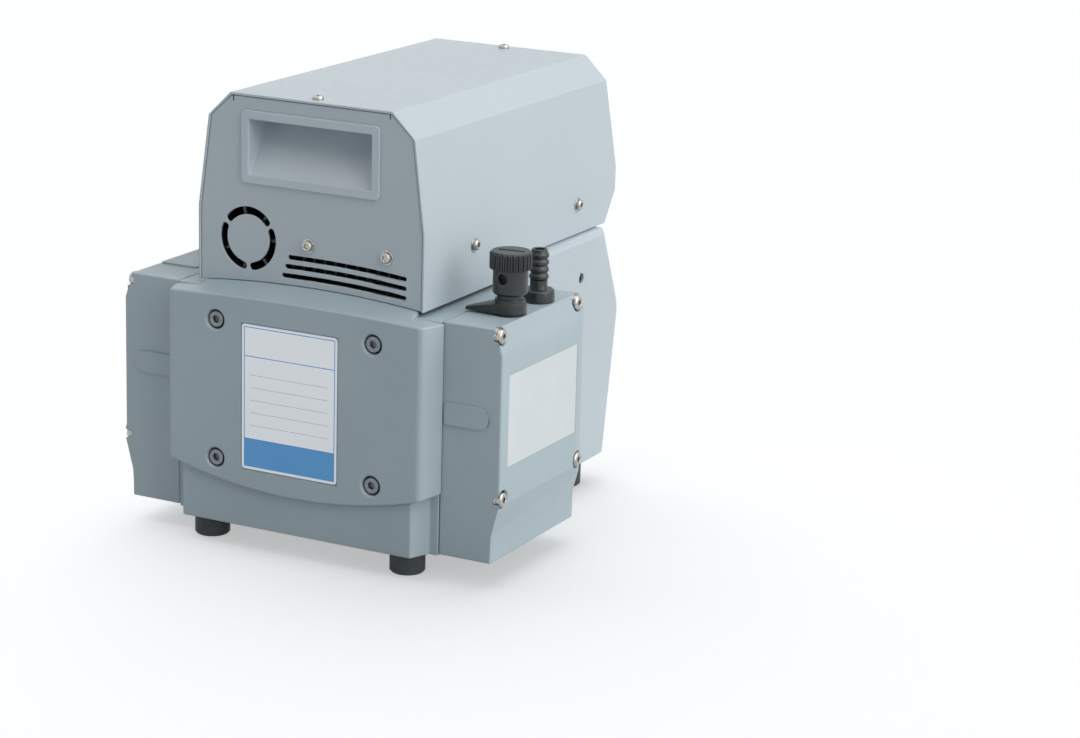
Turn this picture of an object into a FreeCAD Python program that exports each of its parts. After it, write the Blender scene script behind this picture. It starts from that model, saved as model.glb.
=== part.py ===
"""Bench diaphragm vacuum pump with two heads and an electronics hood, in millimetres.

X runs to the pump's left-hand side as seen from behind, so the right head is at +X.
Y runs from the front cover to the rear, and Z up from the surface that the feet stand on.
The origin lies on that surface, below the middle of the pump.
"""
import FreeCAD, Part
import math
import os
import re
import Sketcher

SIZES = {
    # Rubber feet and the base plate under the motor.
    "foot_height": 12.8,
    "foot_radius": 10.0,
    "foot_edge": 1.2,
    "foot_side_inset": 20.5,
    "foot_front_inset": 2.8,
    "foot_rear_inset": 20.0,
    "stud_radius": 2.0,
    "stud_length": 7.0,
    "base_plate_thickness": 3.0,
    "base_plate_inset": 6.0,
    "base_plate_reach": 3.5,
    # Front of the pump and depths along Y.
    "front_y": -125.0,
    "cover_depth": 15.6,
    "case_beyond_lids": 8.6,
    "head_overhang": 2.5,
    "seam": 0.3,
    # Crankcase casting.
    "crankcase_half_width": 84.5,
    "crank_to_roof": 65.3,
    "crankcase_side_wall": 12.0,
    "crankcase_rear_wall": 10.0,
    "crankcase_floor": 8.0,
    "crankcase_roof": 7.0,
    "crank_height": 80.0,
    "side_bore_radius": 33.0,
    "skirt_front_inset": 10.5,
    "skirt_back_inset": 5.5,
    "skirt_set_back": 3.2,
    "skirt_wall": 4.0,
    # Front cover casting.
    "cover_front_inset": 3.5,
    "cover_back_reach": 2.0,
    "cover_wall": 5.0,
    "cover_edge_round": 4.5,
    "cover_below_crank": 44.9,
    "cover_low_rise": 8.4,
    "cover_low_inset": 15.9,
    "cover_over_case": 1.4,
    "saddle_start": 2.5,
    "saddle_inset": 4.0,
    "saddle_gap": 0.4,
    "cover_top_drop": 1.7,
    "cover_top_inset": 14.5,
    "cover_screw_inset": 34.2,
    "cover_screw_below": 28.8,
    "cover_screw_above": 50.9,
    "cover_recess_radius": 5.6,
    "cover_recess_depth": 6.5,
    "cover_post_radius": 8.0,
    "cover_post_length": 18.0,
    "cover_screw_head_radius": 4.5,
    "cover_screw_head_height": 5.5,
    "cover_screw_radius": 2.5,
    "cover_screw_length": 24.0,
    "socket_radius": 2.3,
    "socket_depth": 3.0,
    # Nameplate in its pocket.
    "nameplate_width": 61.3,
    "nameplate_height": 83.1,
    "nameplate_x": -2.2,
    "nameplate_above": 9.7,
    "nameplate_thickness": 0.5,
    "nameplate_pocket": 0.9,
    "nameplate_clearance": 0.8,
    "nameplate_corner": 2.0,
    # Head covers, outer castings over the two heads.
    "head_below_crank": 66.3,
    "head_over_case": 0.3,
    "head_space": 9.5,
    "head_fold_inset": 4.6,
    "head_top_inset": 5.0,
    "head_fold_low": 15.9,
    "head_fold_high": 33.3,
    "head_top_slope": 14.6,
    "head_wall": 2.5,
    "head_rear_chamfer_depth": 8.0,
    "head_rear_chamfer_width": 1.5,
    "head_screw_inset": 4.8,
    "head_screw_top_inset": 4.6,
    "head_screw_over_fold": 3.0,
    "head_screw_depth_top": 6.3,
    "head_screw_depth_low": 3.9,
    "head_screw_radius": 2.5,
    "head_screw_head_radius": 4.2,
    "head_screw_head_height": 3.0,
    "head_screw_grip": 6.0,
    "head_ear_radius": 4.2,
    "washer_radius": 4.7,
    "washer_thickness": 0.8,
    "washer_clearance": 0.5,
    "lug_radius": 7.0,
    "lug_depth": 5.0,
    "relief_height": 12.3,
    "relief_above": 14.9,
    "relief_outer_inset": 7.0,
    "relief_inner_inset": 2.7,
    "relief_proud": 1.0,
    "pad_rear_inset": 11.1,
    "pad_start": 28.0,
    "pad_half_width": 11.8,
    "pad_inset": 17.7,
    "pad_proud": 1.0,
    "label_rear_inset": 9.6,
    "label_height": 51.6,
    "label_above": 13.0,
    "label_front_inset": 9.0,
    "label_thickness": 0.3,
    "label_pocket": 0.4,
    "label_clearance": 0.2,
    # Diaphragm heads, from the crankcase outwards.
    "diaphragm_rim": 4.5,
    "diaphragm_thickness": 3.0,
    "lid_rim": 1.0,
    "lid_thickness": 7.0,
    "chamber_depth": 3.0,
    "port_radius": 3.5,
    "port_offset": 13.0,
    "valve_plate_thickness": 3.0,
    "valve_disc_radius": 7.0,
    "valve_disc_thickness": 1.0,
    "valve_recess_clearance": 0.4,
    "manifold_thickness": 14.5,
    "column_front": 26.0,
    "column_rear": 30.0,
    "head_bolt_radius": 3.0,
    "bolt_circle_margin": 5.5,
    "head_bolt_count": 6,
    "head_bolt_turn": 30.0,
    "head_bolt_head_radius": 5.0,
    "head_bolt_head_height": 4.0,
    "head_bolt_grip": 9.0,
    "bolt_clearance": 0.2,
    # Crossover tube between the two manifolds.
    "tube_radius": 4.0,
    "tube_below_crank": 48.0,
    "tube_y_offset": 29.7,
    "tube_insertion": 4.0,
    "tube_clearance": 0.1,
    "foot_column_half": 8.5,
    "foot_column_low": 6.0,
    # Crankshaft, counterweights and bearings.
    "shaft_radius": 8.5,
    "crank_throw": 3.0,
    "eccentric_radius": 14.0,
    "eccentric_length": 48.0,
    "bearing_radius": 20.0,
    "bearing_width": 12.0,
    "bearing_fit": 0.05,
    "bearing_boss_wall": 5.0,
    "bearing_groove": 0.8,
    "weight_radius": 34.0,
    "weight_thickness": 7.0,
    "weight_gap": 2.0,
    "weight_hub_radius": 13.0,
    # Connecting rods with their bearings and clamping discs.
    "rod_offset": 11.0,
    "rod_width": 14.0,
    "rod_bearing_radius": 21.0,
    "rod_ring_radius": 27.0,
    "shank_half_height": 8.0,
    "shank_overlap": 3.0,
    "flange_radius": 16.0,
    "flange_thickness": 6.0,
    "support_radius": 22.0,
    "support_thickness": 4.0,
    "clamp_radius": 24.0,
    "clamp_thickness": 2.0,
    "clamp_screw_radius": 5.0,
    "clamp_screw_length": 22.0,
    # Motor behind the crankcase.
    "motor_radius": 48.0,
    "motor_wall": 4.0,
    "winding_to_shield": 3.0,
    "motor_flange_thickness": 6.0,
    "motor_flange_bore": 16.0,
    "end_shield_thickness": 14.0,
    "stack_length": 50.0,
    "stack_start": 24.0,
    "core_thickness": 18.4,
    "air_gap": 0.6,
    "winding_length": 9.0,
    "winding_inset": 2.5,
    "fan_radius": 44.0,
    "fan_hub_radius": 14.0,
    "fan_length": 10.0,
    "fan_gap": 3.0,
    "fan_blades": 9,
    "fan_blade_thickness": 2.5,
    # Shroud over the motor.
    "shroud_side_inset": 6.5,
    "shroud_over_case": 11.5,
    "shroud_wall": 2.5,
    "shroud_top_reach": 2.7,
    "shroud_bulge_reach": 25.35,
    "shroud_bulge_above": 26.0,
    "shroud_bottom_reach": 10.5,
    "shroud_bulge_round": 24.0,
    "shroud_edge_round": 6.0,
    "shroud_top_chamfer": 3.0,
    "shroud_gap": 0.2,
    "grille_slots": 8,
    "grille_pitch": 8.0,
    "grille_slot": 4.0,
    "grille_half_width": 42.0,
    "keyhole_inset": 29.0,
    "keyhole_below": 24.8,
    "keyhole_height": 6.3,
    "keyhole_width": 4.2,
    "keyhole_radius": 2.9,
    # Hood of the electronics.
    "hood_set_back": 16.8,
    "hood_rear_reach": 24.5,
    "grip_to_roof": 8.8,
    "hood_side_inset": 12.3,
    "hood_shoulder_inset": 6.7,
    "hood_shoulder_drop": 13.9,
    "hood_roof_inset": 14.3,
    "hood_waist_over_case": 45.0,
    "hood_over_case": 2.7,
    "hood_over_shroud": 0.6,
    "hood_step_gap": 1.0,
    "hood_rear_lean": 3.2,
    "hood_rear_cut_height": 17.6,
    "hood_rear_cut_above": 1.6,
    "hood_rear_cut_depth": 12.5,
    "sheet": 1.5,
    "hood_clearance": 0.3,
    "plate_inset": 0.5,
    "rear_plate_inset": 4.0,
    "plate_flange": 14.0,
    "arch_above": 4.3,
    "arch_rise": 4.0,
    "slot_width": 2.6,
    "slot_pitch": 5.25,
    "slot_above_arch": 5.0,
    "slot_inset": 11.2,
    "slot_left": -14.0,
    "slot_step": 2.0,
    "vent_inset": 32.3,
    "vent_over_tray": 25.9,
    "vent_outer": 18.0,
    "vent_inner": 13.6,
    "vent_bridge": 1.8,
    "notch_inset": 1.2,
    "notch_width": 0.8,
    "notch_height": 3.0,
    # Grip inserts.
    "grip_side_inset": 7.2,
    "grip_over_heat_sink": 10.3,
    "grip_height": 40.7,
    "grip_proud": 1.3,
    "grip_corner": 3.0,
    "grip_border": 5.0,
    "grip_depth": 22.0,
    "grip_wall": 1.8,
    # Tray, board, heat sink and parts inside the hood.
    "tray_over_case": 3.7,
    "tray_set_back": 13.0,
    "tray_rear_inset": 20.0,
    "tray_flange_margin": 7.7,
    "standoff_radius": 3.0,
    "board_over_tray": 19.0,
    "board_thickness": 1.6,
    "board_side_inset": 12.2,
    "board_front_inset": 30.0,
    "board_rear_inset": 35.2,
    "capacitor_radius": 14.0,
    "capacitor_height": 32.0,
    "capacitor_pitch": 33.0,
    "heat_sink_gap": 5.9,
    "heat_sink_inset": 10.2,
    "heat_sink_over_tray": 11.0,
    "heat_sink_height": 36.0,
    "heat_sink_base": 4.0,
    "fin_length": 9.0,
    "fin_thickness": 1.5,
    "fin_count": 12,
    "plate_screw_left": -0.9,
    "plate_screw_inset": 23.5,
    "plate_screw_over_tray": 26.6,
    "plate_spacer_radius": 3.5,
    # Screws of the hood.
    "hood_screw_radius": 2.0,
    "hood_screw_head_radius": 3.1,
    "hood_screw_head_height": 2.2,
    "hood_screw_length": 7.0,
    "hood_washer_radius": 4.1,
    "hood_washer_thickness": 0.6,
    "hood_screw_clearance": 0.2,
    "side_screw_front": 56.2,
    "side_screw_rear": 50.4,
    "side_screw_over_tray": 26.3,
    "top_screw_inset": 8.1,
    # Cooling fan of the hood.
    "cooler_half": 20.0,
    "cooler_depth": 20.0,
    "cooler_bore": 18.7,
    "cooler_rotor": 17.8,
    "cooler_hub": 9.0,
    "cooler_blades": 7,
    "cooler_blade_thickness": 1.6,
    "cooler_strut": 3.0,
    "cooler_axle": 1.5,
    "cooler_gap": 0.5,
    # Mains inlet, switch and bus socket on the rear plate.
    "socket_over_tray": 41.0,
    "inlet_inset": 30.2,
    "inlet_half_width": 13.5,
    "inlet_half_height": 10.0,
    "inlet_flange_rim": 2.0,
    "inlet_flange": 2.0,
    "inlet_depth": 20.0,
    "inlet_wall": 1.6,
    "inlet_cavity_depth": 17.0,
    "blade_width": 2.0,
    "blade_height": 4.0,
    "blade_length": 14.0,
    "blade_pitch": 7.0,
    "blade_drop": 4.0,
    "blade_base": 3.0,
    "switch_x": -4.0,
    "switch_half_width": 6.4,
    "switch_half_height": 10.4,
    "switch_flange_rim": 1.2,
    "switch_depth": 12.0,
    "rocker_half_width": 5.1,
    "rocker_half_height": 7.8,
    "rocker_reach": 6.0,
    "rocker_tilt": 8.0,
    "rocker_clearance": 0.4,
    "rocker_pin_radius": 1.2,
    "bus_inset": 36.2,
    "bus_radius": 8.0,
    "bus_flange": 2.5,
    "bus_flange_rim": 2.0,
    "bus_wall": 1.6,
    "bus_cavity": 9.0,
    "bus_depth": 16.0,
    "bus_pin_radius": 0.6,
    "bus_pin_length": 5.0,
    "bus_pin_circle": 3.4,
    # Gas ballast valve on the right head.
    "ballast_from_plate": 9.6,
    "ballast_from_middle": 15.15,
    "ballast_flange_radius": 9.2,
    "ballast_flange": 0.8,
    "ballast_stem_radius": 4.0,
    "ballast_stem_reach": 29.0,
    "ballast_spigot": 12.0,
    "ballast_gap": 0.3,
    "lever_ring_radius": 9.3,
    "lever_ring_height": 5.9,
    "lever_reach": 24.4,
    "lever_tip": 1.6,
    "lever_tip_height": 1.4,
    "lever_height": 5.4,
    "lever_heading": 196.0,
    "neck_collar_radius": 8.3,
    "neck_collar_height": 2.0,
    "neck_radius": 7.2,
    "neck_height": 2.3,
    "knob_body_radius": 9.7,
    "knob_body_height": 14.4,
    "knob_body_chamfer": 1.2,
    "air_hole_radius": 2.8,
    "air_hole_height": 20.9,
    "cap_radius": 11.7,
    "cap_height": 9.7,
    "cap_crown": 1.2,
    "knurl_count": 24,
    "knurl_radius": 0.9,
    "cap_slot_length": 15.2,
    "cap_slot_width": 2.2,
    "cap_slot_depth": 2.0,
    "cap_slot_heading": 8.0,
    "stem_fit": 0.08,
    # Hose nozzles on the two heads.
    "nozzle_from_plate": 9.0,
    "nozzle_from_middle": 19.65,
    "nozzle_flange_radius": 9.0,
    "nozzle_flange_height": 7.1,
    "nozzle_flange_chamfer": 0.8,
    "nozzle_spigot_radius": 4.6,
    "nozzle_spigot": 11.0,
    "nozzle_bore": 3.0,
    "barb_radius": 5.5,
    "barb_root": 4.5,
    "barb_pitch": 4.0,
    "barb_rise": 0.8,
    "barb_land": 1.6,
    "barb_count": 4,
    "nozzle_neck": 5.3,
    "nozzle_neck_radius": 4.9,
    "nozzle_tip": 1.2,
}

# Sizes that follow from others, so that the pieces keep together when one of those changes.
TIED = {
    "shaft_end": "front_y + cover_depth + crankcase_depth + motor_length + fan_gap + fan_length + seam",
    "crankcase_height": "crank_height + crank_to_roof - foot_height",
    "crankcase_depth": "2 * lid_radius + case_beyond_lids",
    "foot_x": "crankcase_half_width - foot_side_inset",
    "base_plate_half_width": "shroud_half_width - base_plate_inset",
    "base_plate_length": "shaft_end + base_plate_reach - front_y - cover_depth - crankcase_depth",
    "head_depth": "crankcase_depth + head_overhang",
    "skirt_front_half": "crankcase_half_width - skirt_front_inset",
    "skirt_back_half": "crankcase_half_width - skirt_back_inset",
    "cover_front_half": "crankcase_half_width - cover_front_inset",
    "cover_back_half": "crankcase_half_width + cover_back_reach",
    "cover_low_middle": "crank_height - cover_below_crank",
    "cover_low_half": "crankcase_half_width - cover_low_inset",
    "cover_top_middle": "crank_height + crank_to_roof + cover_over_case",
    "cover_top_half": "crankcase_half_width - cover_top_inset",
    "cover_screw_x": "crankcase_half_width - cover_screw_inset",
    "cover_screw_low": "crank_height - cover_screw_below",
    "cover_screw_high": "crank_height + cover_screw_above",
    "nameplate_z": "crank_height + nameplate_above",
    "head_height": "crank_height + crank_to_roof + head_over_case - head_bottom",
    "head_half_width": (
        "crankcase_half_width + diaphragm_thickness + lid_thickness + "
        "valve_plate_thickness + manifold_thickness + head_space"
    ),
    "head_bottom": "crank_height - head_below_crank",
    "head_fold_half_width": "head_half_width - head_fold_inset",
    "head_top_half_width": "head_half_width - head_top_inset",
    "head_screw_low": "head_fold_high + head_screw_over_fold",
    "head_screw_seat_top": "head_half_width - head_screw_depth_top",
    "head_screw_seat_low": "head_half_width - head_screw_depth_low",
    "relief_middle": "crank_height + relief_above",
    "relief_end": "head_half_width - relief_outer_inset",
    "relief_start": "crankcase_half_width + relief_inner_inset",
    "pad_length": "head_depth - pad_start - pad_rear_inset",
    "pad_middle": "head_half_width - pad_inset",
    "label_length": "head_depth - label_front_inset - label_rear_inset",
    "label_middle_z": "crank_height + label_above",
    "diaphragm_radius": "head_bolt_circle + diaphragm_rim",
    "lid_radius": "diaphragm_radius + lid_rim",
    "chamber_radius": "side_bore_radius",
    "head_bolt_circle": "side_bore_radius + bolt_circle_margin",
    "tube_z": "crank_height - tube_below_crank",
    "rotor_radius": "motor_radius - motor_wall - core_thickness - air_gap",
    "motor_length": (
        "stack_start + stack_length + "
        "winding_length + winding_to_shield + end_shield_thickness"
    ),
    "shroud_half_width": "crankcase_half_width - shroud_side_inset",
    "shroud_top": "crank_height + crank_to_roof + shroud_over_case",
    "shroud_top_y": "shaft_end + shroud_top_reach",
    "shroud_bulge_y": "shaft_end + shroud_bulge_reach",
    "shroud_bulge_z": "crank_height + shroud_bulge_above",
    "shroud_bottom_y": "shaft_end + shroud_bottom_reach",
    "keyhole_y": "shaft_end - keyhole_inset",
    "keyhole_z": "shroud_top - keyhole_below",
    "hood_depth": "shaft_end + hood_rear_reach - front_y - hood_set_back",
    "hood_top": "grip_high + grip_to_roof",
    "hood_half_width": "crankcase_half_width - hood_side_inset",
    "hood_shoulder_half": "hood_half_width - hood_shoulder_inset",
    "hood_shoulder_z": "hood_top - hood_shoulder_drop",
    "hood_roof_half": "hood_shoulder_half - hood_roof_inset",
    "hood_waist_z": "crank_height + crank_to_roof + hood_waist_over_case",
    "hood_low": "crank_height + crank_to_roof + hood_over_case",
    "hood_step_z": "shroud_top + hood_over_shroud",
    "hood_rear_cut_top": "hood_rear_cut_low + hood_rear_cut_height",
    "hood_rear_cut_low": "shroud_top + hood_rear_cut_above",
    "arch_middle": "hood_low + arch_above",
    "slot_first": "arch_middle + slot_above_arch",
    "slot_right": "hood_half_width - slot_inset",
    "vent_x": "vent_inset - hood_half_width",
    "vent_z": "tray_low + vent_over_tray",
    "grip_half_width": "hood_roof_half - grip_side_inset",
    "grip_low": "heat_sink_high + grip_over_heat_sink",
    "grip_high": "grip_low + grip_height",
    "tray_low": "crank_height + crank_to_roof + tray_over_case",
    "tray_flange_top": "side_screw_z + tray_flange_margin",
    "board_z": "tray_low + board_over_tray",
    "board_half_width": "hood_half_width - board_side_inset",
    "board_length": "hood_depth - board_front_inset - board_rear_inset",
    "heat_sink_left": "vent_x + cooler_half + heat_sink_gap",
    "heat_sink_right": "hood_half_width - heat_sink_inset",
    "heat_sink_low": "tray_low + heat_sink_over_tray",
    "heat_sink_high": "heat_sink_low + heat_sink_height",
    "plate_screw_right": "hood_half_width - plate_screw_inset",
    "plate_screw_z": "tray_low + plate_screw_over_tray",
    "side_screw_pitch": "hood_depth - side_screw_front - side_screw_rear",
    "side_screw_z": "tray_low + side_screw_over_tray",
    "socket_z": "tray_low + socket_over_tray",
    "inlet_x": "inlet_inset - hood_half_width",
    "bus_x": "hood_half_width - bus_inset",
    "ballast_x": (
        "crankcase_half_width + diaphragm_thickness + "
        "lid_thickness + valve_plate_thickness + ballast_from_plate"
    ),
    "ballast_y_inset": "head_depth / 2 - ballast_from_middle",
    "nozzle_x": (
        "crankcase_half_width + diaphragm_thickness + "
        "lid_thickness + valve_plate_thickness + nozzle_from_plate"
    ),
    "nozzle_y_inset": "head_depth / 2 + nozzle_from_middle",
}

SHEET = "Sizes"
NAMES = re.compile(r"\b[a-z][a-z_]+\b")
NODES = []

doc = FreeCAD.newDocument("diaphragm_vacuum_pump")
sheet = doc.addObject("Spreadsheet::Sheet", SHEET)
for row, (alias, size) in enumerate(SIZES.items(), start=1):
    sheet.set(f"A{row}", alias)
    sheet.set(f"B{row}", str(size))
    sheet.setAlias(f"B{row}", alias)
doc.recompute()


def linked(text):
    """The expression with tied sizes written out and each size's name pointing at its cell."""
    while any(word in TIED for word in NAMES.findall(text)):
        text = NAMES.sub(lambda word: f"({TIED[word[0]]})" if word[0] in TIED else word[0], text)
    return NAMES.sub(lambda word: f"{SHEET}.{word[0]}" if word[0] in SIZES else word[0], text)


def value(text):
    """The number that an expression of sizes gives now."""
    return float(sheet.evalExpression(linked(text)))


def bind(target, sizes):
    """Bind properties of an object to expressions of sizes."""
    for name, text in sizes.items():
        target.setExpression(name, linked(text))


def place(target, x="0", y="0", z="0"):
    """Bind the place of an object, leaving its turn as it is."""
    bind(target, {"Placement.Base.x": x, "Placement.Base.y": y, "Placement.Base.z": z})


def sided(span, side, about):
    """A span along X measured outwards from a line, on the right (1) or the left (-1)."""
    low, high = span
    if side > 0:
        return f"{about} + ({low})", f"{about} + ({high})"
    return f"{about} - ({high})", f"{about} - ({low})"


def box(x, y, z, side=1, about="0"):
    """A block between pairs of expressions along X, Y and Z."""
    x = sided(x, side, about)
    block = doc.addObject("Part::Box", "Block")
    bind(block, {"Length": f"{x[1]} - ({x[0]})", "Width": f"{y[1]} - ({y[0]})"})
    bind(block, {"Height": f"{z[1]} - ({z[0]})"})
    place(block, x[0], y[0], z[0])
    return block


def round_bar(turn, span, radius):
    """A cylinder as long as the span, turned from Z by the rotation."""
    bar = doc.addObject("Part::Cylinder", "Bar")
    bar.Placement = FreeCAD.Placement(FreeCAD.Vector(), turn)
    bind(bar, {"Radius": radius, "Height": f"{span[1]} - ({span[0]})"})
    return bar


def bar_x(x, y, z, radius, side=1, about="0"):
    """A cylinder along X."""
    x = sided(x, side, about)
    bar = round_bar(FreeCAD.Rotation(FreeCAD.Vector(0, 1, 0), 90), x, radius)
    place(bar, x[0], y, z)
    return bar


def bar_y(x, y, z, radius):
    """A cylinder along Y."""
    bar = round_bar(FreeCAD.Rotation(FreeCAD.Vector(1, 0, 0), -90), y, radius)
    place(bar, x, y[0], z)
    return bar


def bar_z(x, y, z, radius):
    """A cylinder along Z."""
    bar = round_bar(FreeCAD.Rotation(), z, radius)
    place(bar, x, y, z[0])
    return bar


def fuse(*parts):
    """One solid made of parts that meet."""
    joined = doc.addObject("Part::MultiFuse", "Joined")
    joined.Shapes = list(parts)
    joined.Refine = True
    return joined


def cut(base, *tools):
    """The base without the tools."""
    left = doc.addObject("Part::Cut", "Trimmed")
    left.Base = base
    left.Tool = tools[0] if len(tools) == 1 else fuse(*tools)
    left.Refine = True
    return left


def common(first, second):
    """The space that two parts share."""
    shared = doc.addObject("Part::Common", "Shared")
    shared.Base = first
    shared.Tool = second
    shared.Refine = True
    return shared


def group(*parts):
    """Separate solids that share one name."""
    together = doc.addObject("Part::Compound", "Group")
    together.Links = list(parts)
    return together


def node(label, part):
    """Give a finished sub-part its name and put it on the list to be written."""
    part.Label = label
    NODES.append(part)
    return part


def new_sketch(body, plane, shift):
    """A sketch on one of the body's own planes, moved by expressions along its own axes."""
    sketch = body.newObject("Sketcher::SketchObject", "Outline")
    face = [item for item in body.Origin.OriginFeatures if item.Role == plane][0]
    sketch.AttachmentSupport = [(face, "")]
    sketch.MapMode = "FlatFace"
    for axis, text in zip("xyz", shift):
        bind(sketch, {f"AttachmentOffset.Base.{axis}": text})
    return sketch


def draw_outline(sketch, points):
    """A closed outline of straight lines whose corners are pairs of expressions."""
    corners = [FreeCAD.Vector(value(first), value(second), 0) for first, second in points]
    for index, corner in enumerate(corners):
        following = corners[(index + 1) % len(corners)]
        sketch.addGeometry(Part.LineSegment(corner, following), False)
    for index, (first, second) in enumerate(points):
        ahead = (index + 1) % len(points)
        sketch.addConstraint(Sketcher.Constraint("Coincident", index, 2, ahead, 1))
        for kind, text, number in (
            ("DistanceX", first, corners[index].x), ("DistanceY", second, corners[index].y),
        ):
            row = sketch.addConstraint(Sketcher.Constraint(kind, -1, 1, index, 1, number))
            bind(sketch, {f"Constraints[{row}]": text})


def prism(plane, points, span):
    """A body padded from an outline on XY, XZ or YZ, over a span along the third axis."""
    body = doc.addObject("PartDesign::Body", "Body")
    start = f"-({span[1]})" if plane == "XZ" else span[0]
    sketch = new_sketch(body, f"{plane}_Plane", ("0", "0", start))
    draw_outline(sketch, points)
    pad = body.newObject("PartDesign::Pad", "Pad")
    pad.Profile = sketch
    bind(pad, {"Length": f"{span[1]} - ({span[0]})"})
    doc.recompute()
    return body


def turned(axis, points, centre):
    """A body revolved about a line along X, Y or Z; its outline is pairs of place and radius."""
    body = doc.addObject("PartDesign::Body", "Body")
    if axis == "X":
        sketch = new_sketch(body, "XZ_Plane", ("0", centre[1], f"-({centre[0]})"))
        draw_outline(sketch, points)
    if axis == "Y":
        sketch = new_sketch(body, "YZ_Plane", ("0", centre[1], centre[0]))
        draw_outline(sketch, points)
    if axis == "Z":
        sketch = new_sketch(body, "XZ_Plane", (centre[0], "0", f"-({centre[1]})"))
        draw_outline(sketch, [(radius, along) for along, radius in points])
    turn = body.newObject("PartDesign::Revolution", "Turned")
    turn.Profile = sketch
    turn.ReferenceAxis = (sketch, ["V_Axis" if axis == "Z" else "H_Axis"])
    turn.Angle = 360
    doc.recompute()
    return body


def soften(body, chosen, size, kind="Fillet"):
    """Round or chamfer the edges of a body that the test chooses."""
    base = body.Tip
    names = [f"Edge{index}" for index, edge in enumerate(base.Shape.Edges, start=1) if chosen(edge)]
    finish = body.newObject(f"PartDesign::{kind}", kind)
    finish.Base = (base, names)
    bind(finish, {"Radius" if kind == "Fillet" else "Size": size})
    body.Tip = finish
    doc.recompute()
    return body


def runs_along(edge, axis):
    """True where an edge is straight and parallel to an axis."""
    if edge.Curve.TypeId != "Part::GeomLine":
        return False
    return abs(getattr(edge.Curve.Direction, axis)) > 0.999


def mirrored(points, side):
    """An outline on XZ or XY for the right (1) or the left (-1)."""
    if side > 0:
        return points
    return [(f"-({first})", second) for first, second in reversed(points)]


OVER = "1"
SIDES = {"right": 1, "left": -1}

CASE_FRONT = "(front_y + cover_depth)"
CASE_REAR = f"({CASE_FRONT} + crankcase_depth)"
CASE_TOP = "(foot_height + crankcase_height)"
HEAD_IN = "(crankcase_half_width + seam)"
HEAD_FRONT = f"({CASE_FRONT} + seam)"
HEAD_REAR = f"({HEAD_FRONT} + head_depth)"
HEAD_MID = f"({HEAD_FRONT} + head_depth / 2)"
HEAD_TOP = "(head_bottom + head_height)"
DIAPHRAGM_OUT = "(crankcase_half_width + diaphragm_thickness)"
LID_OUT = f"({DIAPHRAGM_OUT} + lid_thickness)"
PLATE_OUT = f"({LID_OUT} + valve_plate_thickness)"
MANIFOLD_OUT = f"({PLATE_OUT} + manifold_thickness)"
TUBE_Y = f"({HEAD_MID} + tube_y_offset)"
BALLAST_Y = f"({HEAD_FRONT} + ballast_y_inset)"
NOZZLE_Y = f"({HEAD_FRONT} + nozzle_y_inset)"
LOW_RADIUS = "((cover_low_half^2 + cover_low_rise^2) / (2 * cover_low_rise))"
TOP_RADIUS = "((cover_top_half^2 + cover_top_drop^2) / (2 * cover_top_drop))"
FRONT_BEARING = "(front_y + cover_wall + bearing_boss_wall)"
MOTOR_REAR = f"({CASE_REAR} + motor_length)"
SHAFT_END = "shaft_end"
HOOD_FRONT = "(front_y + hood_set_back)"
HOOD_REAR = f"({HOOD_FRONT} + hood_depth)"
STEP_Y = f"({CASE_REAR} - hood_step_gap)"
PLATE_Y = f"({HOOD_FRONT} + plate_inset)"
REAR_PLATE_Y = f"({HOOD_REAR} - rear_plate_inset)"
ARCH_RADIUS = "((hood_half_width^2 + arch_rise^2) / (2 * arch_rise))"
ARCH_CENTRE = f"(arch_middle - {ARCH_RADIUS})"
FITTED = "(sheet + hood_clearance)"
TRAY_HIGH = "(shroud_top + seam)"
TRAY_REAR = f"({HOOD_REAR} - tray_rear_inset)"
SHROUD_LOW = "(foot_height + base_plate_thickness + shroud_gap)"
SHROUD_FRONT = f"({CASE_REAR} + seam)"

FOOT_PLACES = [(way, y) for way in ("", "-") for y in (
    f"{CASE_FRONT} + foot_front_inset",
    f"{CASE_REAR} + base_plate_length - foot_rear_inset",
)]
COVER_SCREWS = [(way, z) for way in ("", "-") for z in ("cover_screw_low", "cover_screw_high")]
HEAD_SCREWS = [
    (y, z, seat)
    for y in (f"({HEAD_FRONT} + head_screw_inset)", f"({HEAD_REAR} - head_screw_inset)")
    for z, seat in (
        ("(head_bottom + head_screw_low)", "head_screw_seat_low"),
        (f"({HEAD_TOP} - head_screw_top_inset)", "head_screw_seat_top"),
    )
]


def head_bolt_places():
    """Places on Y and Z of the bolts around one diaphragm."""
    count = round(value("head_bolt_count"))
    places = []
    for index in range(count):
        angle = 2 * math.pi * index / count + math.radians(value("head_bolt_turn"))
        y = f"{HEAD_MID} + head_bolt_circle * ({math.cos(angle):.6f})"
        z = f"crank_height + head_bolt_circle * ({math.sin(angle):.6f})"
        places.append((y, z))
    return places


def bolt_holes(span, radius, side):
    """Cutters for the bolts around one diaphragm."""
    return [bar_x(span, y, z, radius, side) for y, z in head_bolt_places()]


def feet():
    """Four rubber feet with moulded-in studs."""
    made = []
    for way, y in FOOT_PLACES:
        outline = [
            ("0", "0"),
            ("0", "foot_radius - foot_edge"),
            ("foot_edge", "foot_radius"),
            ("foot_height", "foot_radius"),
            ("foot_height", "stud_radius"),
            ("foot_height + stud_length", "stud_radius"),
            ("foot_height + stud_length", "0"),
        ]
        made.append(turned("Z", outline, (f"{way}foot_x", y)))
    node("feet", group(*made))


def base_plate():
    """Sheet steel plate under the motor, carried by the crankcase and the rear feet."""
    plate = box(
        ("-base_plate_half_width", "base_plate_half_width"),
        (CASE_REAR, f"{CASE_REAR} + base_plate_length"),
        ("foot_height", "foot_height + base_plate_thickness"),
    )
    holes = [
        bar_z(f"{way}foot_x", y, (f"foot_height - {OVER}", "foot_height + stud_length"), "stud_radius")
        for way, y in FOOT_PLACES
    ]
    node("base_plate", cut(plate, *holes))


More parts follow.
